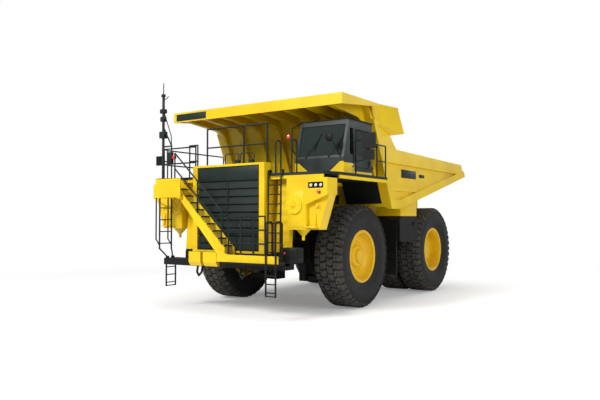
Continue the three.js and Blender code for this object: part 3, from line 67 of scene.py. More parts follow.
def area_light(name, place, target, size, power, colour=(1, 1, 1)):
    data = bpy.data.lights.new(name, "AREA")
    data.shape = "DISK"
    data.size = size
    data.energy = power
    data.color = colour
    lamp = bpy.data.objects.new(name, data)
    lamp.location = place
    aim = Vector(target) - Vector(place)
    lamp.rotation_euler = aim.to_track_quat("-Z", "Y").to_euler()
    bpy.context.scene.collection.objects.link(lamp)


def make_studio():
    area_light("key", (-3, -23, 16), (0, -1, 2.5), 8, 4700, (1.0, 0.98, 0.95))
    area_light("side_fill", (22, -8, 10), (0, 0, 2.5), 12, 1800)
    area_light("top", (0, 2, 22), (0, 0, 2), 16, 2000)
    area_light("back_rim", (6, 22, 12), (0, 2, 3), 10, 1100)
    make_world()
    make_floor()


def make_world():
    world = bpy.data.worlds.new("studio")
    bpy.context.scene.world = world
    world.use_nodes = True
    tree = world.node_tree
    tree.nodes.clear()
    output = tree.nodes.new("ShaderNodeOutputWorld")
    mix = tree.nodes.new("ShaderNodeMixShader")
    seen = tree.nodes.new("ShaderNodeBackground")
    seen.inputs["Color"].default_value = (1, 1, 1, 1)
    seen.inputs["Strength"].default_value = 1.0
    ambient = tree.nodes.new("ShaderNodeBackground")
    ambient.inputs["Color"].default_value = (0.93, 0.96, 1.0, 1)
    ambient.inputs["Strength"].default_value = 0.32
    path = tree.nodes.new("ShaderNodeLightPath")
    white = math_node(tree, "MAXIMUM", path.outputs["Is Camera Ray"], path.outputs["Is Transmission Ray"])
    tree.links.new(white, mix.inputs["Fac"])
    tree.links.new(ambient.outputs[0], mix.inputs[1])
    tree.links.new(seen.outputs[0], mix.inputs[2])
    tree.links.new(mix.outputs[0], output.inputs["Surface"])


def make_floor():
    mesh = bpy.data.meshes.new("floor")
    reach = 120
    corners = [(-reach, -reach, 0), (reach, -reach, 0), (reach, reach, 0), (-reach, reach, 0)]
    mesh.from_pydata(corners, [], [(0, 1, 2, 3)])
    floor = bpy.data.objects.new("floor", mesh)
    bpy.context.scene.collection.objects.link(floor)
    floor.location.z = -0.002
    mesh.materials.append(floor_material())


def floor_material():
    """Pale and shadowed round the truck, fading to the white of the background further off."""
    material, tree, shader = new_material("floor", (0.9, 0.9, 0.9), 0.9)
    shader.inputs["Specular IOR Level"].default_value = 0.0
    path = tree.nodes.new("ShaderNodeLightPath")
    glow = tree.nodes.new("ShaderNodeEmission")
    tree.links.new(math_node(tree, "MULTIPLY", path.outputs["Is Camera Ray"], 0.22), glow.inputs["Strength"])
    near = tree.nodes.new("ShaderNodeAddShader")
    tree.links.new(shader.outputs[0], near.inputs[0])
    tree.links.new(glow.outputs[0], near.inputs[1])
    far = tree.nodes.new("ShaderNodeEmission")
    white = math_node(tree, "MAXIMUM", path.outputs["Is Camera Ray"], 0.45)
    tree.links.new(white, far.inputs["Strength"])
    place = tree.nodes.new("ShaderNodeTexCoord")
    length = tree.nodes.new("ShaderNodeVectorMath")
    length.operation = "LENGTH"
    tree.links.new(place.outputs["Object"], length.inputs[0])
    fade = tree.nodes.new("ShaderNodeMixShader")
    tree.links.new(remap(tree, length.outputs["Value"], 8.0, 17.0), fade.inputs["Fac"])
    tree.links.new(near.outputs[0], fade.inputs[1])
    tree.links.new(far.outputs[0], fade.inputs[2])
    output = next(node for node in tree.nodes if node.type == "OUTPUT_MATERIAL")
    tree.links.new(fade.outputs[0], output.inputs["Surface"])
    return material


# ------------------------------------------------------------------ node helpers
def new_material(name, colour, roughness, metallic=0.0):
    material = bpy.data.materials.new(name)
    material.use_nodes = True
    tree = material.node_tree
    shader = tree.nodes["Principled BSDF"]
    shader.inputs["Base Color"].default_value = (*colour, 1)
    shader.inputs["Roughness"].default_value = roughness
    shader.inputs["Metallic"].default_value = metallic
    return material, tree, shader


def math_node(tree, operation, a, b):
    node = tree.nodes.new("ShaderNodeMath")
    node.operation = operation
    for socket, value in zip(node.inputs, (a, b)):
        if isinstance(value, (int, float)):
            socket.default_value = value
        else:
            tree.links.new(value, socket)
    return node.outputs[0]


def noise(tree, scale, detail=4.0, stretch=(1, 1, 1)):
    place = tree.nodes.new("ShaderNodeTexCoord")
    mapping = tree.nodes.new("ShaderNodeMapping")
    mapping.inputs["Scale"].default_value = stretch
    texture = tree.nodes.new("ShaderNodeTexNoise")
    texture.inputs["Scale"].default_value = scale
    texture.inputs["Detail"].default_value = detail
    tree.links.new(place.outputs["Object"], mapping.inputs["Vector"])
    tree.links.new(mapping.outputs[0], texture.inputs["Vector"])
    return texture.outputs["Fac"]


def remap(tree, value, low, high, to_low=0.0, to_high=1.0):
    node = tree.nodes.new("ShaderNodeMapRange")
    for name, number in (("From Min", low), ("From Max", high), ("To Min", to_low), ("To Max", to_high)):
        node.inputs[name].default_value = number
    tree.links.new(value, node.inputs["Value"])
    return node.outputs[0]


def mix_colour(tree, factor, first, second):
    node = tree.nodes.new("ShaderNodeMix")
    node.data_type = "RGBA"
    tree.links.new(factor, node.inputs["Factor"])
    for socket, value in ((node.inputs["A"], first), (node.inputs["B"], second)):
        if isinstance(value, tuple):
            socket.default_value = (*value, 1)
        else:
            tree.links.new(value, socket)
    return node.outputs["Result"]


def bump(tree, shader, height, strength, distance=0.01):
    node = tree.nodes.new("ShaderNodeBump")
    node.inputs["Strength"].default_value = strength
    node.inputs["Distance"].default_value = distance
    tree.links.new(height, node.inputs["Height"])
    tree.links.new(node.outputs[0], shader.inputs["Normal"])


def facing_up(tree):
    """0 on walls and undersides, 1 on level tops."""
    geometry = tree.nodes.new("ShaderNodeNewGeometry")
    split = tree.nodes.new("ShaderNodeSeparateXYZ")
    tree.links.new(geometry.outputs["Normal"], split.inputs[0])
    return remap(tree, split.outputs["Z"], 0.5, 1.0)


def inside(tree, low, high):
    """1 inside a box in the object's own metres, 0 outside; None leaves a side open."""
    place = tree.nodes.new("ShaderNodeTexCoord")
    split = tree.nodes.new("ShaderNodeSeparateXYZ")
    tree.links.new(place.outputs["Object"], split.inputs[0])
    mask = 1.0
    for axis in range(3):
        for limit, operation in ((low[axis], "GREATER_THAN"), (high[axis], "LESS_THAN")):
            if limit is not None:
                within = math_node(tree, operation, split.outputs[axis], limit)
                mask = math_node(tree, "MULTIPLY", mask, within)
    return mask


# ------------------------------------------------------------------ finishes
DUST_AMOUNT = 0.2
BARE_STEEL = (0.2, 0.18, 0.155)


def paint(name, tones, dust, roughness=0.36, coat=0.12, second=None, scuffed=False):
    """Sprayed paint: a slow drift of tone, faint runs, orange peel and thin dust on level tops.

    second is (tones, boxes): another colour inside those boxes. scuffed wears level tops to bare steel."""
    material, tree, shader = new_material(name, tones[0], roughness)
    drift = remap(tree, noise(tree, 0.9, 3), 0.35, 0.68)
    tone = mix_colour(tree, drift, *tones)
    streaks = remap(tree, noise(tree, 5.0, 6, (3, 3, 0.25)), 0.52, 0.8, 0.0, 0.3)
    tone = mix_colour(tree, streaks, tone, tones[1])
    if second:
        other, boxes = second
        mask = 0.0
        for low, high in boxes:
            mask = math_node(tree, "MAXIMUM", mask, inside(tree, low, high))
        tone = mix_colour(tree, mask, tone, mix_colour(tree, drift, *other))
    settled = math_node(tree, "MULTIPLY", facing_up(tree), remap(tree, noise(tree, 7, 6), 0.35, 0.7))
    tone = mix_colour(tree, math_node(tree, "MULTIPLY", settled, DUST_AMOUNT), tone, dust)
    if scuffed:
        scraped = remap(tree, noise(tree, 1.3, 7, (2.4, 0.4, 2.4)), 0.42, 0.68, 0.0, 0.5)
        scraped = math_node(tree, "MULTIPLY", scraped, facing_up(tree))
        tone = mix_colour(tree, scraped, tone, BARE_STEEL)
    tree.links.new(tone, shader.inputs["Base Color"])
    tree.links.new(remap(tree, noise(tree, 14, 5), 0.3, 0.7, roughness - 0.05, roughness + 0.12),
                   shader.inputs["Roughness"])
    shader.inputs["Specular IOR Level"].default_value = 0.35 if coat else 0.2
    shader.inputs["Coat Weight"].default_value = coat
    shader.inputs["Coat Roughness"].default_value = 0.2
    bump(tree, shader, noise(tree, 60, 3), 0.06, 0.004)
    return material


def rubber(name, colour, worn, scale=9.0, roughness=0.82):
    material, tree, shader = new_material(name, colour, roughness)
    patches = remap(tree, noise(tree, scale, 7), 0.38, 0.66)
    tree.links.new(mix_colour(tree, patches, colour, worn), shader.inputs["Base Color"])
    tree.links.new(remap(tree, noise(tree, 40, 4), 0.3, 0.7, roughness - 0.12, roughness + 0.1),
                   shader.inputs["Roughness"])
    bump(tree, shader, noise(tree, 90, 5), 0.25, 0.006)
    return material


def polished_steel():
    material, tree, shader = new_material("polished_steel", (0.62, 0.63, 0.64), 0.18, 1.0)
    lines = noise(tree, 12, 2, (4, 4, 0.2))
    tree.links.new(remap(tree, lines, 0.3, 0.7, 0.16, 0.24), shader.inputs["Roughness"])
    return material


def casting():
    material, tree, shader = new_material("casting", (0.06, 0.06, 0.055), 0.62, 0.2)
    grime = remap(tree, noise(tree, 6, 6), 0.4, 0.65)
    tone = mix_colour(tree, grime, (0.05, 0.05, 0.047), (0.11, 0.095, 0.07))
    tree.links.new(tone, shader.inputs["Base Color"])
    bump(tree, shader, noise(tree, 45, 6), 0.35, 0.006)
    return material


def tinted_glass():
    material, tree, shader = new_material("tinted_glass", (0.05, 0.068, 0.064), 0.04)
    shader.inputs["Transmission Weight"].default_value = 0.5
    shader.inputs["IOR"].default_value = 1.3
    tree.links.new(remap(tree, noise(tree, 3, 4), 0.3, 0.7, 0.02, 0.07), shader.inputs["Roughness"])
    return material


def woven_fabric():
    material, tree, shader = new_material("woven_fabric", (0.035, 0.036, 0.04), 0.9)
    place = tree.nodes.new("ShaderNodeTexCoord")
    wave = tree.nodes.new("ShaderNodeTexWave")
    wave.inputs["Scale"].default_value = 110
    tree.links.new(place.outputs["Object"], wave.inputs["Vector"])
    tree.links.new(mix_colour(tree, wave.outputs["Fac"], (0.025, 0.026, 0.03), (0.06, 0.06, 0.066)),
                   shader.inputs["Base Color"])
    shader.inputs["Sheen Weight"].default_value = 0.3
    bump(tree, shader, wave.outputs["Fac"], 0.3, 0.002)
    return material


def lamp_glass(name, colour, glow):
    material, tree, shader = new_material(name, colour, 0.12)
    cells = noise(tree, 60, 1)
    tree.links.new(mix_colour(tree, cells, colour, tuple(min(1, c * 1.15 + 0.02) for c in colour)),
                   shader.inputs["Base Color"])
    shader.inputs["Emission Color"].default_value = (*colour, 1)
    shader.inputs["Emission Strength"].default_value = glow
    shader.inputs["Coat Weight"].default_value = 1.0
    bump(tree, shader, cells, 0.2, 0.004)
    return material


def mirror_glass():
    material, tree, shader = new_material("mirror_glass", (0.55, 0.56, 0.57), 0.05, 1.0)
    tree.links.new(remap(tree, noise(tree, 4, 4), 0.3, 0.7, 0.03, 0.1), shader.inputs["Roughness"])
    return material


YELLOW = ((0.87, 0.615, 0.008), (0.79, 0.51, 0.008))
RIM_YELLOW = ((0.86, 0.55, 0.008), (0.76, 0.44, 0.007))
DARK = ((0.012, 0.02, 0.018), (0.021, 0.031, 0.028))
BLACK = ((0.007, 0.008, 0.0075), (0.013, 0.013, 0.012))
CAB = ((0.02, 0.03, 0.028), (0.034, 0.046, 0.042))
YELLOW_DUST = (0.62, 0.46, 0.14)
DARK_DUST = (0.13, 0.12, 0.095)
# Boxes, in metres, where a node wears its second colour; None leaves a side open.
UPRIGHTS = [((-1.91, None, 1.75), (-1.44, -4.3, 3.83)), ((1.44, None, 1.75), (1.91, -4.3, 3.83))]
TREADS = [((-1.76, -5.53, None), (0.32, -5.176, 3.79))]
DECK_EDGE = [((None, None, None), (None, None, 3.818))]
PLATFORM_TOP = [((0.12, -5.572, None), (None, None, None))]
FINISH = {
    "yellow_paint": paint("yellow_paint", YELLOW, YELLOW_DUST),
    "bed_paint": paint("bed_paint", YELLOW, YELLOW_DUST, scuffed=True),
    "rim_paint": paint("rim_paint", RIM_YELLOW, YELLOW_DUST),
    "dark_paint": paint("dark_paint", DARK, DARK_DUST, 0.42, coat=0.0),
    "deck_paint": paint("deck_paint", DARK, DARK_DUST, 0.5, coat=0.0,
                        second=(YELLOW, DECK_EDGE)),
    "black_paint": paint("black_paint", BLACK, DARK_DUST, 0.5, coat=0.0),
    "frame_paint": paint("frame_paint", BLACK, DARK_DUST, 0.5, coat=0.0, second=(YELLOW, UPRIGHTS)),
    "stair_paint": paint("stair_paint", YELLOW, YELLOW_DUST, second=(DARK, TREADS)),
    "platform_paint": paint("platform_paint", YELLOW, YELLOW_DUST,
                            second=(BLACK, PLATFORM_TOP)),
    "cab_paint": paint("cab_paint", CAB, DARK_DUST, 0.34),
    "tyre_rubber": rubber("tyre_rubber", (0.008, 0.0085, 0.009), (0.017, 0.0165, 0.0155)),
    "tread_rubber": rubber("tread_rubber", (0.042, 0.039, 0.034), (0.085, 0.077, 0.063), 6.0, 0.9),
    "cylinder_steel": polished_steel(),
    "cast_housing": casting(),
    "window_glass": tinted_glass(),
    "seat_fabric": woven_fabric(),
    "white_lamp": lamp_glass("white_lamp", (0.6, 0.62, 0.6), 0.03),
    "red_lamp": lamp_glass("red_lamp", (0.75, 0.03, 0.02), 0.15),
    "mirror_glass": mirror_glass(),
}
NODE_FINISH = {
    "frame": "frame_paint", "stairway": "stair_paint", "bumper_platform": "platform_paint",
    "deck_left": "deck_paint", "deck_right": "deck_paint", "bed_floor": "bed_paint",
}


def finish_cad_nodes():
    """Every CAD node keeps its shape, gets a procedural finish and softened edges."""
    for name, node in NODES.items():
        node.data.materials.clear()
        node.data.materials.append(FINISH[NODE_FINISH.get(name, SLOT_OF[name])])
        soften = node.modifiers.new("soften", "BEVEL")
        soften.width = edge_radius(name)
        soften.segments = 2
        soften.limit_method = "ANGLE"
        soften.angle_limit = math.radians(32)
        soften.use_clamp_overlap = True
        soften.harden_normals = False


def edge_radius(name):
    """How far a node's edges are rounded, in metres: less on glass and on thin tube."""
    low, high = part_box(name)
    smallest = min(b - a for a, b in zip(low, high))
    if "glass" in name or "windscreen" in name:
        return 0.001
    if "rail" in name or "ladder" in name or "mast" in name or name == "guard_frame":
        return 0.004
    return 0.016 if smallest > 0.4 else 0.008


# ------------------------------------------------------------------ mesh helpers
def piece(name, mesh, body, finish, smooth_angle=40):
    obj = bpy.data.objects.new(name, mesh)
    bpy.context.scene.collection.objects.link(obj)
    for key in (finish if isinstance(finish, tuple) else (finish,)):
        mesh.materials.append(FINISH[key])
    mesh.shade_smooth()
    mesh.set_sharp_from_angle(angle=math.radians(smooth_angle))
    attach(obj, body)
    return obj


def from_bmesh(name, bm):
    bmesh.ops.recalc_face_normals(bm, faces=bm.faces[:])
    mesh = bpy.data.meshes.new(name)
    bm.to_mesh(mesh)
    bm.free()
    return mesh


def add_box(bm, low, high, bevel):
    size = [b - a for a, b in zip(low, high)]
    centre = [(a + b) / 2 for a, b in zip(low, high)]
    place = Matrix.Translation(centre) @ Matrix.Diagonal((*size, 1))
    made = bmesh.ops.create_cube(bm, size=1.0, matrix=place)
    edges = {edge for vert in made["verts"] for edge in vert.link_edges}
    bmesh.ops.bevel(bm, geom=list(edges), offset=bevel, segments=2, affect="EDGES", profile=0.5)


def add_rod(bm, start, end, radius, sides=12, end_radius=None, material=0):
    start, end = Vector(start), Vector(end)
    aim = end - start
    turn = aim.to_track_quat("Z", "Y").to_matrix().to_4x4()
    if end_radius is None:
        end_radius = radius
    made = bmesh.ops.create_cone(bm, cap_ends=True, segments=sides, radius1=radius, radius2=end_radius,
                                 depth=aim.length, matrix=Matrix.Translation((start + end) / 2) @ turn)
    for face in {face for vert in made["verts"] for face in vert.link_faces}:
        face.material_index = material


def add_turned(bm, profile, centre, segments=96):
    """Turns a closed profile of (offset along X, radius) points about an axis along X through centre."""
    rings = []
    for step in range(segments):
        angle = 2 * math.pi * step / segments
        across, up = math.sin(angle), -math.cos(angle)
        rings.append([
            bm.verts.new((centre[0] + x, centre[1] + r * across, centre[2] + r * up)) for x, r in profile
        ])
    count = len(profile)
    for step in range(segments):
        here, there = rings[step], rings[(step + 1) % segments]
        for i in range(count):
            j = (i + 1) % count
            bm.faces.new((here[i], there[i], there[j], here[j]))


def mirror_profile(profile, side):
    return [(x * side, r) for x, r in profile]


# ------------------------------------------------------------------ tyres
BEAD = 0.345  # half the width between a tyre's beads
PITCHES = 42  # tread blocks round the tyre, in each row
TREAD_DEPTH = 0.06
LUG_INSET = 0.006
PIT_SIZE = 0.046


def tyre_facts(name):
    low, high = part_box(name)
    centre = [(a + b) / 2 for a, b in zip(low, high)]
    return centre, (high[2] - low[2]) / 2, (high[0] - low[0]) / 2


def carcass_profile(radius, half):
    """Bead, ringed sidewall, shoulder and the tread's floor on one side, then the other."""
    side = [
        (BEAD, 0.745), (BEAD + 0.008, 0.79), (BEAD + 0.035, 0.83), (BEAD + 0.04, 0.86),
        (half * 0.9, 0.93), (half * 0.915, 0.985), (half * 0.94, 0.99), (half * 0.975, 1.06),
        (half * 0.99, 1.14), (half * 0.992, 1.2), (half * 0.98, 1.27), (half * 0.955, 1.3),
        (half * 0.945, 1.36), (half * 0.9, 1.42), (half * 0.8, radius - TREAD_DEPTH - 0.008),
    ]
    crown = [(half * 0.4, radius - TREAD_DEPTH), (0, radius - TREAD_DEPTH)]
    outer = side + crown
    back = [(-x, r) for x, r in reversed(outer[:-1])]
    lining = [(-BEAD * 0.75, 0.76), (-half * 0.6, 1.3), (half * 0.6, 1.3), (BEAD * 0.75, 0.76)]
    return outer + back + lining


def add_lug(bm, centre, outline, turn, top, floor):
    """outline is [(offset along X, share of one pitch, drop of the top below the crown)].

    A lug has sides and a top. Its open foot lies inside the carcass."""
    pitch = 2 * math.pi / PITCHES

    def corner(x, share, radius):
        angle = turn + share * pitch
        return (centre[0] + x, centre[1] + radius * math.sin(angle), centre[2] - radius * math.cos(angle))

    middle_x = sum(point[0] for point in outline) / len(outline)
    middle_share = sum(point[1] for point in outline) / len(outline)
    feet, heads = [], []
    for x, share, drop in outline:
        feet.append(bm.verts.new(corner(x, share, floor - drop * 0.6)))
        inset_x = x + math.copysign(LUG_INSET, middle_x - x)
        inset_share = share + math.copysign(LUG_INSET / (pitch * top), middle_share - share)
        heads.append(bm.verts.new(corner(inset_x, inset_share, top - drop)))
    count = len(outline)
    for i in range(count):
        j = (i + 1) % count
        bm.faces.new((feet[i], feet[j], heads[j], heads[i])).material_index = 1
    bm.faces.new(heads).material_index = 1


def add_painted_pit_shade(bm, centre, x, turn, radius):
    """A small square stud hole, shown as one dark face just proud of the lug's top: painted shade for the
    hole's depth.
    """
    half = PIT_SIZE / 2 / radius
    corners = [(x - PIT_SIZE / 2, turn - half), (x + PIT_SIZE / 2, turn - half),
               (x + PIT_SIZE / 2, turn + half), (x - PIT_SIZE / 2, turn + half)]
    verts = [bm.verts.new((centre[0] + u, centre[1] + radius * math.sin(a), centre[2] - radius * math.cos(a)))
             for u, a in corners]
    bm.faces.new(verts).material_index = 0


def add_tread(bm, centre, radius, half):
    floor = radius - TREAD_DEPTH - 0.02
    top = radius - 0.002
    pitch = 2 * math.pi / PITCHES
    edge, crown_end = half * 0.985, half * 0.82
    for step in range(PITCHES):
        turn = pitch * step
        for side in (1, -1):
            shift = 0.0 if side > 0 else 0.5
            shoulder = [
                (side * 0.235, 0.02 + shift, 0.0), (side * 0.3, -0.06 + shift, 0.0),
                (side * crown_end, 0.04 + shift, 0.004), (side * edge, 0.1 + shift, 0.105),
                (side * edge, 0.74 + shift, 0.105), (side * crown_end, 0.84 + shift, 0.004),
                (side * 0.3, 0.74 + shift, 0.0), (side * 0.235, 0.84 + shift, 0.0),
            ]
            add_lug(bm, centre, shoulder, turn, top, floor)
            middle = [
                (side * 0.212, 0.48 + shift, 0.0), (side * 0.212, 1.3 + shift, 0.0),
                (side * 0.12, 1.4 + shift, 0.0), (side * 0.012, 1.22 + shift, 0.0),
                (side * 0.012, 0.4 + shift, 0.0), (side * 0.12, 0.58 + shift, 0.0),
            ]
            add_lug(bm, centre, middle, turn, top, floor)
            # a dark square on each shoulder lug: painted shade standing in for its stud hole
            add_painted_pit_shade(bm, centre, side * 0.33, turn + (0.38 + shift) * pitch, top + 0.001)


def make_tyre(name):
    centre, radius, half = tyre_facts(name)
    bm = bmesh.new()
    add_turned(bm, carcass_profile(radius, half), centre, 120)
    add_tread(bm, centre, radius, half)
    mesh = from_bmesh(f"{name}_rubber", bm)
    obj = piece(f"{name}_rubber", mesh, BODY_OF[name], ("tyre_rubber", "tread_rubber"))
    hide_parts(name)


# ------------------------------------------------------------------ rims
FLANGE_RADIUS = 0.79
# From inside the barrel round one turned-over flange to the tyre's seat.
FLANGE = [
    (BEAD - 0.06, 0.70), (BEAD + 0.005, 0.705), (BEAD + 0.022, 0.72), (BEAD + 0.027, 0.765),
    (BEAD + 0.022, FLANGE_RADIUS - 0.006), (BEAD + 0.01, FLANGE_RADIUS),
    (BEAD + 0.0015, FLANGE_RADIUS - 0.01), (BEAD + 0.0015, 0.7415),
]


def ring_of_bolts(bm, centre, offset, ring_radius, count, size, side):
    for step in range(count):
        angle = 2 * math.pi * (step + 0.5) / count
        across, up = ring_radius * math.sin(angle), ring_radius * math.cos(angle)
        foot = Vector((centre[0] + side * offset, centre[1] + across, centre[2] + up))
        add_rod(bm, foot, foot + Vector((side * size * 0.9, 0, 0)), size * 0.62, 6)


def front_rim(name, side):
    low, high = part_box(name)
    tyre_centre, _, _ = tyre_facts(name.replace("rim", "tyre"))
    centre = (tyre_centre[0], (low[1] + high[1]) / 2, (low[2] + high[2]) / 2)
    back = [
        (-0.235, 0.134), (-0.235, 0.32), (-0.2, 0.335), (0.0, 0.36), (0.0, 0.60), (-0.03, 0.66),
        (-0.08, 0.70),
    ]
    face = [
        (0.285, 0.70), (0.285, 0.672), (0.24, 0.662), (0.16, 0.62), (0.1, 0.56), (0.078, 0.5), (0.075, 0.44),
        (0.085, 0.37), (0.10, 0.345), (0.15, 0.33), (0.19, 0.30), (0.2, 0.245), (0.215, 0.2), (0.27, 0.19),
        (0.285, 0.17), (0.285, 0.02), (0.27, 0.001),
    ]
    bore = [(0.062, 0.001), (0.062, 0.134)]
    profile = back + [(-x, r) for x, r in FLANGE] + list(reversed(FLANGE)) + face + bore
    bm = bmesh.new()
    add_turned(bm, mirror_profile(profile, side), centre)
    ring_of_bolts(bm, centre, 0.073, 0.475, 24, 0.032, side)
    ring_of_bolts(bm, centre, 0.215, 0.225, 12, 0.02, side)
    ring_of_bolts(bm, centre, 0.283, 0.12, 6, 0.018, side)
    obj = piece(f"{name}_dish", from_bmesh(f"{name}_dish", bm), BODY_OF[name], "rim_paint", 30)
    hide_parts(name)


def rear_rims(name, side):
    outer_centre, _, _ = tyre_facts(name.replace("rims", "outer_tyre"))
    inner_centre, _, _ = tyre_facts(name.replace("rims", "inner_tyre"))
    gap = abs(outer_centre[0] - inner_centre[0])
    face = [
        (0.285, 0.70), (0.285, 0.672), (0.24, 0.665), (0.1, 0.655), (0.0, 0.645), (-0.035, 0.62),
        (-0.045, 0.56), (-0.045, 0.5), (-0.03, 0.47), (0.02, 0.455), (0.085, 0.44), (0.11, 0.42),
        (0.12, 0.36), (0.13, 0.34), (0.145, 0.18), (0.148, 0.001),
    ]
    back = [(-0.62, 0.001), (-0.62, 0.206), (-1.392, 0.206), (-1.392, 0.47), (-1.05, 0.48), (-1.05, 0.70)]
    profile = [(-gap - x, r) for x, r in FLANGE] + [(-gap + x, r) for x, r in reversed(FLANGE)]
    profile += [(-x, r) for x, r in FLANGE] + list(reversed(FLANGE)) + face + back
    bm = bmesh.new()
    add_turned(bm, mirror_profile(profile, side), outer_centre)
    ring_of_bolts(bm, outer_centre, -0.047, 0.53, 30, 0.03, side)
    ring_of_bolts(bm, outer_centre, 0.118, 0.385, 18, 0.022, side)
    ring_of_bolts(bm, outer_centre, 0.144, 0.14, 8, 0.02, side)
    obj = piece(f"{name}_dish", from_bmesh(f"{name}_dish", bm), BODY_OF[name], "rim_paint", 30)
    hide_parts(name)


def make_wheels():
    for name in NODES:
        if "tyre" in name:
            make_tyre(name)
    for side_name, side in (("left", 1), ("right", -1)):
        front_rim(f"front_rim_{side_name}", side)
        rear_rims(f"rear_rims_{side_name}", side)


# ------------------------------------------------------------------ small pieces on the CAD nodes
FORWARD = (0, -1, 0)
COVER_DEPTH = 0.06  # how far a side box's round cover stands out of its front


def small(name, bm, body, finish, smooth_angle=35):
    obj = piece(name, from_bmesh(name, bm), body, finish, smooth_angle)
    return obj


def add_path(bm, points, radius, sides=10):
    """Straight rods with a ball at each bend."""
    for start, end in zip(points, points[1:]):
        add_rod(bm, start, end, radius, sides)
    for point in points[1:-1]:
        bmesh.ops.create_icosphere(bm, subdivisions=2, radius=radius, matrix=Matrix.Translation(point))


def add_prism(bm, outline, low, high, axis):
    """outline is in the two other axes, in x, y, z order."""
    ends = []
    for level in (low, high):
        ring = []
        for u, v in outline:
            point = [u, v]
            point.insert(axis, level)
            ring.append(bm.verts.new(point))
        ends.append(ring)
    bm.faces.new(ends[0])
    bm.faces.new(list(reversed(ends[1])))
    count = len(outline)
    for i in range(count):
        j = (i + 1) % count
        bm.faces.new((ends[0][i], ends[1][i], ends[1][j], ends[0][j]))


def add_lamp(bm, centre, aim, radius):
    """A round lamp: a dark cup, a bright bezel and a domed lens; materials are (cup, lens)."""
    centre, aim = Vector(centre), Vector(aim).normalized()
    add_rod(bm, centre, centre + aim * 0.03, radius * 1.05, 24, radius * 1.2)
    add_rod(bm, centre + aim * 0.03, centre + aim * 0.038, radius * 1.2, 24, radius * 1.1)
    add_rod(bm, centre + aim * 0.036, centre + aim * 0.044, radius, 24, radius * 0.92, material=1)
    add_rod(bm, centre + aim * 0.044, centre + aim * 0.05, radius * 0.92, 24, radius * 0.55, material=1)


def add_bolt_line(bm, start, end, count, aim, size):
    start, end, aim = Vector(start), Vector(end), Vector(aim)
    for step in range(count):
        foot = start.lerp(end, step / (count - 1))
        add_rod(bm, foot, foot + aim * size * 0.7, size, 6)


def side_box_lamps(side_name, side):
    low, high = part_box(f"side_box_{side_name}")
    front, top = low[1] + COVER_DEPTH, high[2]
    bm = bmesh.new()
    panel = sorted((side * 2.602, side * 3.078))
    add_box(bm, (panel[0], front + 0.05, top - 0.268), (panel[1], front + 0.059, top - 0.112), 0.003)
    for step in range(3):
        add_lamp(bm, (side * (2.69 + 0.15 * step), front + 0.052, top - 0.19), FORWARD, 0.044)
    small(f"headlamps_{side_name}", bm, "chassis", ("black_paint", "white_lamp"))
    bm = bmesh.new()
    add_lamp(bm, (side * 2.95, front, top - 0.37), FORWARD, 0.04)
    small(f"marker_lamp_{side_name}", bm, "chassis", ("black_paint", "red_lamp"))


def add_round_cover(bm, hub):
    """The bolted round cover's bolts and spokes about its hub, and the boss in its middle."""
    for angle in range(0, 360, 45):
        spoke = Vector((math.cos(math.radians(angle)), 0, math.sin(math.radians(angle))))
        bolt = hub + spoke * 0.2
        add_rod(bm, bolt, bolt + Vector((0, -0.018, 0)), 0.016, 6)
        lift = Vector((0, -0.012, 0))
        add_rod(bm, hub + spoke * 0.03 + lift, hub + spoke * 0.1 + lift, 0.012, 6)
    add_rod(bm, hub + Vector((0, 0.002, 0)), hub + Vector((0, -0.03, 0)), 0.05, 20, 0.04)


def side_box_fittings(side_name, side):
    low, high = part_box(f"side_box_{side_name}")
    front, top = low[1] + COVER_DEPTH, high[2]
    bm = bmesh.new()
    door = sorted((side * 1.99, side * 2.46))
    add_box(bm, (door[0], front - 0.012, low[2] + 0.38), (door[1], front + 0.002, top - 0.34), 0.005)
    ledge = sorted((side * 1.95, side * 2.86))
    add_box(bm, (ledge[0], front - 0.02, 2.42), (ledge[1], front + 0.15, 2.455), 0.008)
    add_round_cover(bm, Vector((side * 2.18, low[1], top - 0.7)))
    add_bolt_line(bm, (side * 2.05, front, top - 0.06), (side * 3.1, front, top - 0.06), 8, FORWARD, 0.012)
    recess = front + 0.13
    x, z = side * 2.84, 3.02
    add_box(bm, (x - 0.085, recess - 0.02, z - 0.085), (x + 0.085, recess + 0.004, z + 0.085), 0.006)
    add_rod(bm, (x, recess, z), (x, recess - 0.06, z), 0.055, 20, 0.05)
    for offset in (-0.28, 0.0):
        gusset = [(recess + 0.004, 2.46), (recess - 0.1, 2.46), (recess + 0.004, 2.9 + offset * 0.4)]
        edge = sorted((side * (2.78 + offset), side * (2.79 + offset)))
        add_prism(bm, gusset, edge[0], edge[1], 0)
    small(f"box_fittings_{side_name}", bm, "chassis", "yellow_paint")


def add_cab_wedges():
    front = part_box("cab_shell")[0][1]
    bm = bmesh.new()
    for wedge in ([(1.483, 3.906), (1.483, 4.23), (1.6, 4.23), (2.0, 3.906)],
                  [(3.077, 3.906), (3.077, 4.23), (2.97, 4.23), (2.56, 3.906)]):
        add_prism(bm, wedge, front - 0.014, front + 0.004, 1)
    add_box(bm, (3.075, front - 0.01, 3.906), (3.094, -2.22, 3.985), 0.004)
    add_box(bm, (3.075, front - 0.01, 3.98), (3.09, -3.27, 4.2), 0.004)
    small("cab_wedges", bm, "chassis", "yellow_paint")


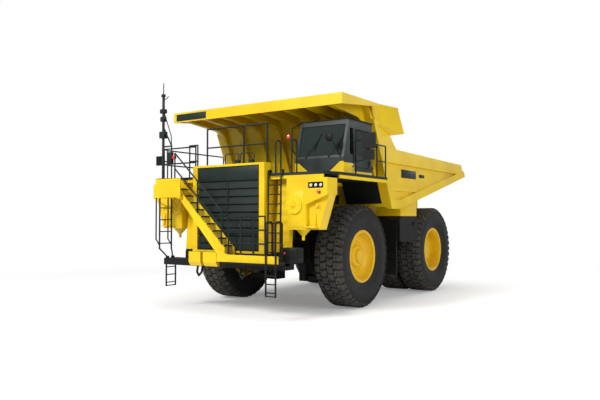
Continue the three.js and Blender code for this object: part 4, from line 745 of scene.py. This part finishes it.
def add_cab_seals():
    """The windscreen's seal and wipers, the trim under it and the roof's plate."""
    low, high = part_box("cab_shell")
    left, right, front = low[0] + 0.04, high[0] - 0.038, low[1]
    sill = low[2] + 0.45
    glass_low, glass_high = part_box("windscreen")
    rake = (glass_high[1] - glass_low[1]) / (glass_high[2] - glass_low[2])

    def on_glass(x, z, out=0.03):
        return (x, glass_low[1] + (z - glass_low[2]) * rake - out, z)

    bm = bmesh.new()
    corners = [(glass_low[0], glass_low[2]), (glass_high[0], glass_low[2]), (glass_high[0], glass_high[2]),
               (glass_low[0], glass_high[2])]
    ring = [on_glass(x, z, 0.008) for x, z in corners]
    add_path(bm, ring + [ring[0]], 0.014, 8)
    for foot_x, (tip_x, tip_z) in ((1.85, (2.2, 4.95)), (2.6, (2.95, 4.95))):
        foot, tip = on_glass(foot_x, glass_low[2] - 0.03), on_glass(tip_x, tip_z)
        add_rod(bm, foot, (foot[0], foot[1] - 0.03, foot[2]), 0.022, 16)
        add_path(bm, [(foot[0], foot[1] - 0.02, foot[2]), tip], 0.008, 8)
        blade = [on_glass(tip_x - 0.12, tip_z - 0.38, 0.022), on_glass(tip_x + 0.04, tip_z + 0.1, 0.022)]
        add_path(bm, blade, 0.011, 6)
    add_box(bm, (left + 0.1, front + 0.03, sill - 0.05), (right - 0.1, front + 0.055, sill), 0.004)
    add_box(bm, (left - 0.03, -3.56, high[2] - 0.004), (right + 0.03, -2.19, high[2] + 0.03), 0.01)
    small("cab_seals", bm, "chassis", "black_paint")


def add_cab_handrails():
    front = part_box("cab_shell")[0][1]
    bm = bmesh.new()
    add_path(bm, [(1.5, front + 0.1, 4.45), (1.46, front - 0.12, 4.6), (1.46, front - 0.12, 5.25),
                  (1.56, front + 0.24, 5.4)], 0.016)
    add_path(bm, [(2.98, front + 0.02, 4.32), (2.9, front - 0.22, 4.7), (2.78, front - 0.28, 4.86)], 0.014)
    add_rod(bm, (2.78, front - 0.26, 4.88), (2.78, front - 0.3, 4.88), 0.125, 32, 0.11)
    add_rod(bm, (2.78, front - 0.3, 4.88), (2.78, front - 0.33, 4.88), 0.11, 32, 0.04)
    for y in (-3.42, -2.28):
        add_path(bm, [(3.11, y, 4.1), (3.15, y, 4.1), (3.15, y, 5.0), (3.11, y, 5.0)], 0.014)
    small("cab_handrails", bm, "chassis", "black_paint")


# Each pane is (x low, x high, z low, z high).
MIRROR_PANES = {
    "mirror_left": [(3.42, 3.78, 4.62, 4.98), (3.46, 3.74, 4.3, 4.51)],
    "mirror_right": [(-3.78, -3.5, 4.43, 4.67)],
}


def add_mirror_faces():
    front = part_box("cab_shell")[0][1]
    bm = bmesh.new()
    add_rod(bm, (2.78, front - 0.262, 4.88), (2.78, front - 0.252, 4.88), 0.115, 32, 0.11)
    for name, panes in MIRROR_PANES.items():
        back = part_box(name)[1][1]
        for x0, x1, z0, z1 in panes:
            add_box(bm, (x0, back - 0.003, z0), (x1, back + 0.004, z1), 0.002)
    small("mirror_faces", bm, "chassis", "mirror_glass")


def dress_doors():
    for side_name in ("left", "right"):
        name = f"cab_door_{side_name}"
        glass_low, glass_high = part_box(f"{name}_glass")
        low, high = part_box(name)
        outward = 1 if side_name == "left" else -1
        face = 3.082 if outward > 0 else 1.478
        y0, y1, z0, z1 = glass_low[1], glass_high[1], glass_low[2], glass_high[2]
        bm = bmesh.new()
        x = face + outward * 0.004
        ring = [(x, y0, z0), (x, y1, z0), (x, y1, z1), (x, y0, z1), (x, y0, z0)]
        add_path(bm, ring, 0.012, 8)
        lower, upper = low[2] + 0.1, z0 - 0.06
        add_path(bm, [(x, low[1] + 0.08, lower), (x, high[1] - 0.12, lower), (x, high[1] - 0.12, upper),
                      (x, low[1] + 0.08, upper), (x, low[1] + 0.08, lower)], 0.005, 6)
        small(f"{name}_seal", bm, BODY_OF[name], "black_paint")


SQUARENESS = 5.0  # a cushion's outline: 2 is an ellipsoid, more is boxier


def add_cushion(bm, centre, size, tilt, channels):
    """A stuffed, crowned block whose sides pull in, with sewn channels across its face."""
    made = bmesh.ops.create_uvsphere(bm, u_segments=72, v_segments=44, radius=1.0)
    turn = Matrix.Rotation(tilt, 4, "X")
    for vert in made["verts"]:
        v = vert.co.copy()
        reach = sum(abs(c) ** SQUARENESS for c in v) ** (1 / SQUARENESS)
        v /= reach
        pull = 1 - 0.05 * (1 - abs(v.x)) * abs(v.y) - 0.05 * (1 - abs(v.y)) * abs(v.x)
        v.x *= pull
        v.y *= pull
        v.z *= 0.86 + 0.14 * (1 - v.x * v.x) * (1 - v.y * v.y)
        for line in range(channels):
            seam = -0.6 + 1.2 * line / max(1, channels - 1)
            v.z *= 1 - 0.16 * math.exp(-((v.y - seam) / 0.05) ** 2)
        point = Vector((v.x * size[0] / 2, v.y * size[1] / 2, v.z * size[2] / 2))
        vert.co = Vector(centre) + turn @ point


def make_seat():
    low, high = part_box("operator_seat")
    x, floor = (low[0] + high[0]) / 2, low[2]
    y = low[1] + 0.28
    bm = bmesh.new()
    add_box(bm, (x - 0.18, y - 0.2, floor), (x + 0.18, y + 0.2, floor + 0.05), 0.01)
    for step in range(4):
        z = floor + 0.05 + 0.045 * step
        add_box(bm, (x - 0.15, y - 0.17, z), (x + 0.15, y + 0.17, z + 0.04), 0.016)
    add_box(bm, (x - 0.24, y - 0.24, floor + 0.235), (x + 0.24, y + 0.24, floor + 0.3), 0.02)
    for side in (-1, 1):
        add_path(bm, [(x + side * 0.2, y + 0.22, floor + 0.28),
                      (x + side * 0.2, y + 0.36, floor + 0.9)], 0.02)
        add_path(bm, [(x + side * 0.25, y + 0.26, floor + 0.52), (x + side * 0.3, y + 0.22, floor + 0.56),
                      (x + side * 0.3, y - 0.12, floor + 0.56)], 0.016)
        add_path(bm, [(x + side * 0.07, y + 0.42, floor + 1.0),
                      (x + side * 0.07, y + 0.44, floor + 1.16)], 0.008)
    frame_piece = small("seat_frame", bm, "chassis", "black_paint")
    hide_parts("operator_seat")
    cushions = {
        "seat_cushion": ((x, y, floor + 0.375), (0.54, 0.54, 0.17), 0.0, 4),
        "seat_back": ((x, y + 0.33, floor + 0.74), (0.5, 0.66, 0.14), math.radians(78), 4),
        "seat_headrest": ((x, y + 0.43, floor + 1.19), (0.27, 0.17, 0.1), math.radians(82), 0),
        "seat_arm_left": ((x + 0.3, y + 0.05, floor + 0.59), (0.07, 0.36, 0.06), 0.0, 0),
        "seat_arm_right": ((x - 0.3, y + 0.05, floor + 0.59), (0.07, 0.36, 0.06), 0.0, 0),
    }
    for name, (centre, size, tilt, channels) in cushions.items():
        bm = bmesh.new()
        add_cushion(bm, centre, size, tilt, channels)
        obj = small(name, bm, "chassis", "seat_fabric", 80)


def add_grille_guard():
    low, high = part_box("radiator")
    face = low[1]
    bm = bmesh.new()
    add_box(bm, (-0.012, face - 0.008, low[2] + 0.05), (0.012, face + 0.01, high[2] - 0.42), 0.003)
    for step in range(13):
        x = -1.02 + 0.17 * step
        add_rod(bm, (x, face - 0.012, low[2] + 0.06), (x, face - 0.012, low[2] + 1.0), 0.007, 6)
    for z in (low[2] + 0.06, low[2] + 0.5, low[2] + 1.0):
        add_rod(bm, (-1.08, face - 0.014, z), (1.08, face - 0.014, z), 0.01, 8)
    add_box(bm, (-1.1, face - 0.01, high[2] - 0.37), (1.1, face + 0.01, high[2] - 0.03), 0.008)
    small("grille_guard", bm, "chassis", "dark_paint")


def add_bonnet_fittings():
    """Two low hoops and two capped necks on top of the radiator's housing."""
    low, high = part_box("radiator_housing")
    top, middle = high[2], (low[1] + high[1]) / 2
    bm = bmesh.new()
    for x0, x1 in ((-0.2, 0.3), (0.36, 0.86)):
        y = middle - 0.2
        add_path(bm, [(x0, y, top - 0.004), (x0, y, top + 0.26), (x0 + 0.05, y, top + 0.3),
                      (x1 - 0.05, y, top + 0.3), (x1, y, top + 0.26), (x1, y, top - 0.004)], 0.016)
    for x in (0.1, 0.6):
        add_rod(bm, (x, middle, top - 0.004), (x, middle, top + 0.1), 0.09, 24, 0.08)
        add_rod(bm, (x, middle, top + 0.1), (x, middle, top + 0.14), 0.1, 12, 0.09)
    small("bonnet_fittings", bm, "chassis", "dark_paint")


def add_front_bolts():
    low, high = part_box("radiator_housing")
    top = high[2]
    bm = bmesh.new()
    for x in (-1.23, 1.23):
        add_bolt_line(bm, (x, low[1], low[2] + 0.15), (x, low[1], top - 0.1), 12, FORWARD, 0.013)
    add_bolt_line(bm, (-1.0, low[1], top - 0.03), (1.0, low[1], top - 0.03), 9, FORWARD, 0.011)
    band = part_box("bumper_platform")[0][1]
    add_bolt_line(bm, (0.7, band, 1.56), (1.5, band, 1.56), 4, FORWARD, 0.018)
    small("front_bolts", bm, "chassis", "yellow_paint")


def add_bumper_fittings():
    """Two tow eyes under the bumper, the louvred box at its left end, and two red lamps."""
    bm = bmesh.new()
    for x in (-0.85, 0.75):
        add_path(bm, [(x - 0.09, -5.26, 1.31), (x - 0.09, -5.3, 1.14), (x, -5.32, 1.04),
                      (x + 0.09, -5.3, 1.14), (x + 0.09, -5.26, 1.31)], 0.032, 12)
    add_box(bm, (1.98, -5.28, 1.5), (2.5, -4.92, 1.9), 0.03)
    add_box(bm, (2.03, -5.3, 1.62), (2.45, -5.27, 1.86), 0.01)
    add_box(bm, (2.0, -5.2, 1.4), (2.1, -5.0, 1.52), 0.01)
    for step in range(5):
        add_box(bm, (2.06, -5.312, 1.65 + 0.04 * step), (2.42, -5.295, 1.668 + 0.04 * step), 0.003)
    small("tow_eyes", bm, "chassis", "black_paint")
    bm = bmesh.new()
    add_lamp(bm, (2.17, -5.3, 1.76), FORWARD, 0.03)
    add_lamp(bm, (2.04, -5.24, 1.96), FORWARD, 0.03)
    small("bumper_lamps", bm, "chassis", ("black_paint", "red_lamp"))


def dress_mast_and_gate():
    low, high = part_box("mast")
    x, y = low[0] + 0.09, (low[1] + high[1]) / 2
    bm = bmesh.new()
    for z, half in ((5.05, 0.1), (5.55, 0.075), (6.28, 0.05)):
        add_box(bm, (x - half, y - half * 0.8, z), (x + half, y + half * 0.8, z + half * 2), 0.012)
        add_box(bm, (x - half - 0.03, y - half * 0.5, z + half * 0.5),
                (x - half + 0.01, y + half * 0.5, z + half * 1.5), 0.006)
    add_path(bm, [(x, y, 6.2), (x + 0.16, y, 6.24), (x + 0.2, y, 6.3)], 0.012)
    add_path(bm, [(x, y, 5.9), (x + 0.33, y, 5.1), (x + 0.35, y, 4.8)], 0.014)
    add_box(bm, (x + 0.22, y - 0.08, 4.28), (x + 0.42, y + 0.02, 4.62), 0.015)
    small("mast_fittings", bm, "chassis", "dark_paint")
    bm = bmesh.new()
    add_lamp(bm, (x + 0.5, y - 0.03, 4.46), (0.3, -1, 0), 0.06)
    add_lamp(bm, (1.93, -4.8, 4.86), (0.2, -1, 0), 0.055)
    small("side_lamps", bm, "chassis", ("black_paint", "red_lamp"))
    bm = bmesh.new()
    add_path(bm, [(x + 0.36, y, 4.36), (x + 0.5, y - 0.02, 4.46)], 0.014)
    add_path(bm, [(2.01, -4.77, 4.76), (1.93, -4.79, 4.86)], 0.014)
    small("lamp_arms", bm, "chassis", "dark_paint")


def dress_bed():
    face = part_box("bed_front")[0][1]
    bm = bmesh.new()
    add_box(bm, (-3.04, face - 0.0035, 5.8), (-1.76, face + 0.006, 6.02), 0.002)
    for side in (1, -1):
        span = sorted((side * 2.92, side * 3.006))
        add_box(bm, (span[0], -0.05, 3.98), (span[1], 1.1, 4.25), 0.002)
        add_box(bm, (span[0], 1.35, 4.05), (span[1], 1.8, 4.16), 0.002)
    small("blank_plates", bm, "dump_bed", "dark_paint")


def dress_tanks():
    for node in ("fuel_tank", "hydraulic_tank"):
        low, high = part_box(node)
        side = 1 if high[0] > 0 else -1
        outer = high[0] if side > 0 else low[0]
        y0, y1, z0, z1 = low[1] + 0.04, high[1], 1.9, high[2]
        bm = bmesh.new()
        for inset in (0.35, 0.85, 1.35):
            x = outer - side * inset
            ring = [(y0 + 0.09, z0 - 0.012), (y1 - 0.09, z0 - 0.012), (y1 + 0.012, z0 + 0.09),
                    (y1 + 0.012, z1 - 0.09), (y1 - 0.09, z1 + 0.012), (y0 + 0.09, z1 + 0.012),
                    (y0 - 0.012, z1 - 0.09), (y0 - 0.012, z0 + 0.09)]
            add_prism(bm, ring, x - 0.03, x + 0.03, 0)
        cap = Vector((outer - side * 0.002, y1 - 0.3, z0 + 0.6))
        add_rod(bm, cap, cap + Vector((side * 0.052, 0, 0)), 0.07, 20, 0.06)
        for y in (y0 + 0.12, y1 - 0.12):
            add_bolt_line(bm, (outer, y, z0 + 0.12), (outer, y, z1 - 0.12), 6, (side, 0, 0), 0.012)
        small(f"{node}_straps", bm, "chassis", "black_paint")
    low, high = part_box("storage_box")
    bm = bmesh.new()
    add_box(bm, (high[0] - 0.004, low[1] + 0.08, low[2] + 0.05),
            (high[0] + 0.012, high[1] - 0.08, low[2] + 0.3), 0.005)
    for y in (low[1] + 0.3, high[1] - 0.3):
        add_box(bm, (high[0] + 0.01, y - 0.05, low[2] + 0.14),
                (high[0] + 0.03, y + 0.05, low[2] + 0.18), 0.006)
    small("locker_door", bm, "chassis", "yellow_paint")


def dress_hoists():
    for side_name in ("left", "right"):
        name = f"hoist_barrel_{side_name}"
        low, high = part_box(name)
        x, y, z = (low[0] + high[0]) / 2, low[1], low[2]
        bm = bmesh.new()
        for hose_x in (x - 0.05, x + 0.05):
            add_path(bm, [(hose_x, y + 0.02, z + 0.25), (hose_x, y - 0.04, z + 0.34),
                          (hose_x, y - 0.04, z + 0.6), (hose_x, y + 0.03, z + 0.68)], 0.018)
        small(f"{name}_hoses", bm, BODY_OF[name], "tyre_rubber")


# ------------------------------------------------------------------ the picture
bpy.context.scene.view_settings.view_transform = "Standard"
make_camera()
make_studio()
finish_cad_nodes()
make_wheels()
make_seat()
add_cab_wedges()
add_cab_seals()
add_cab_handrails()
add_mirror_faces()
dress_doors()
add_grille_guard()
add_bonnet_fittings()
add_front_bolts()
add_bumper_fittings()
dress_mast_and_gate()
dress_bed()
dress_tanks()
dress_hoists()
for box_side, sign in (("left", 1), ("right", -1)):
    side_box_lamps(box_side, sign)
    side_box_fittings(box_side, sign)
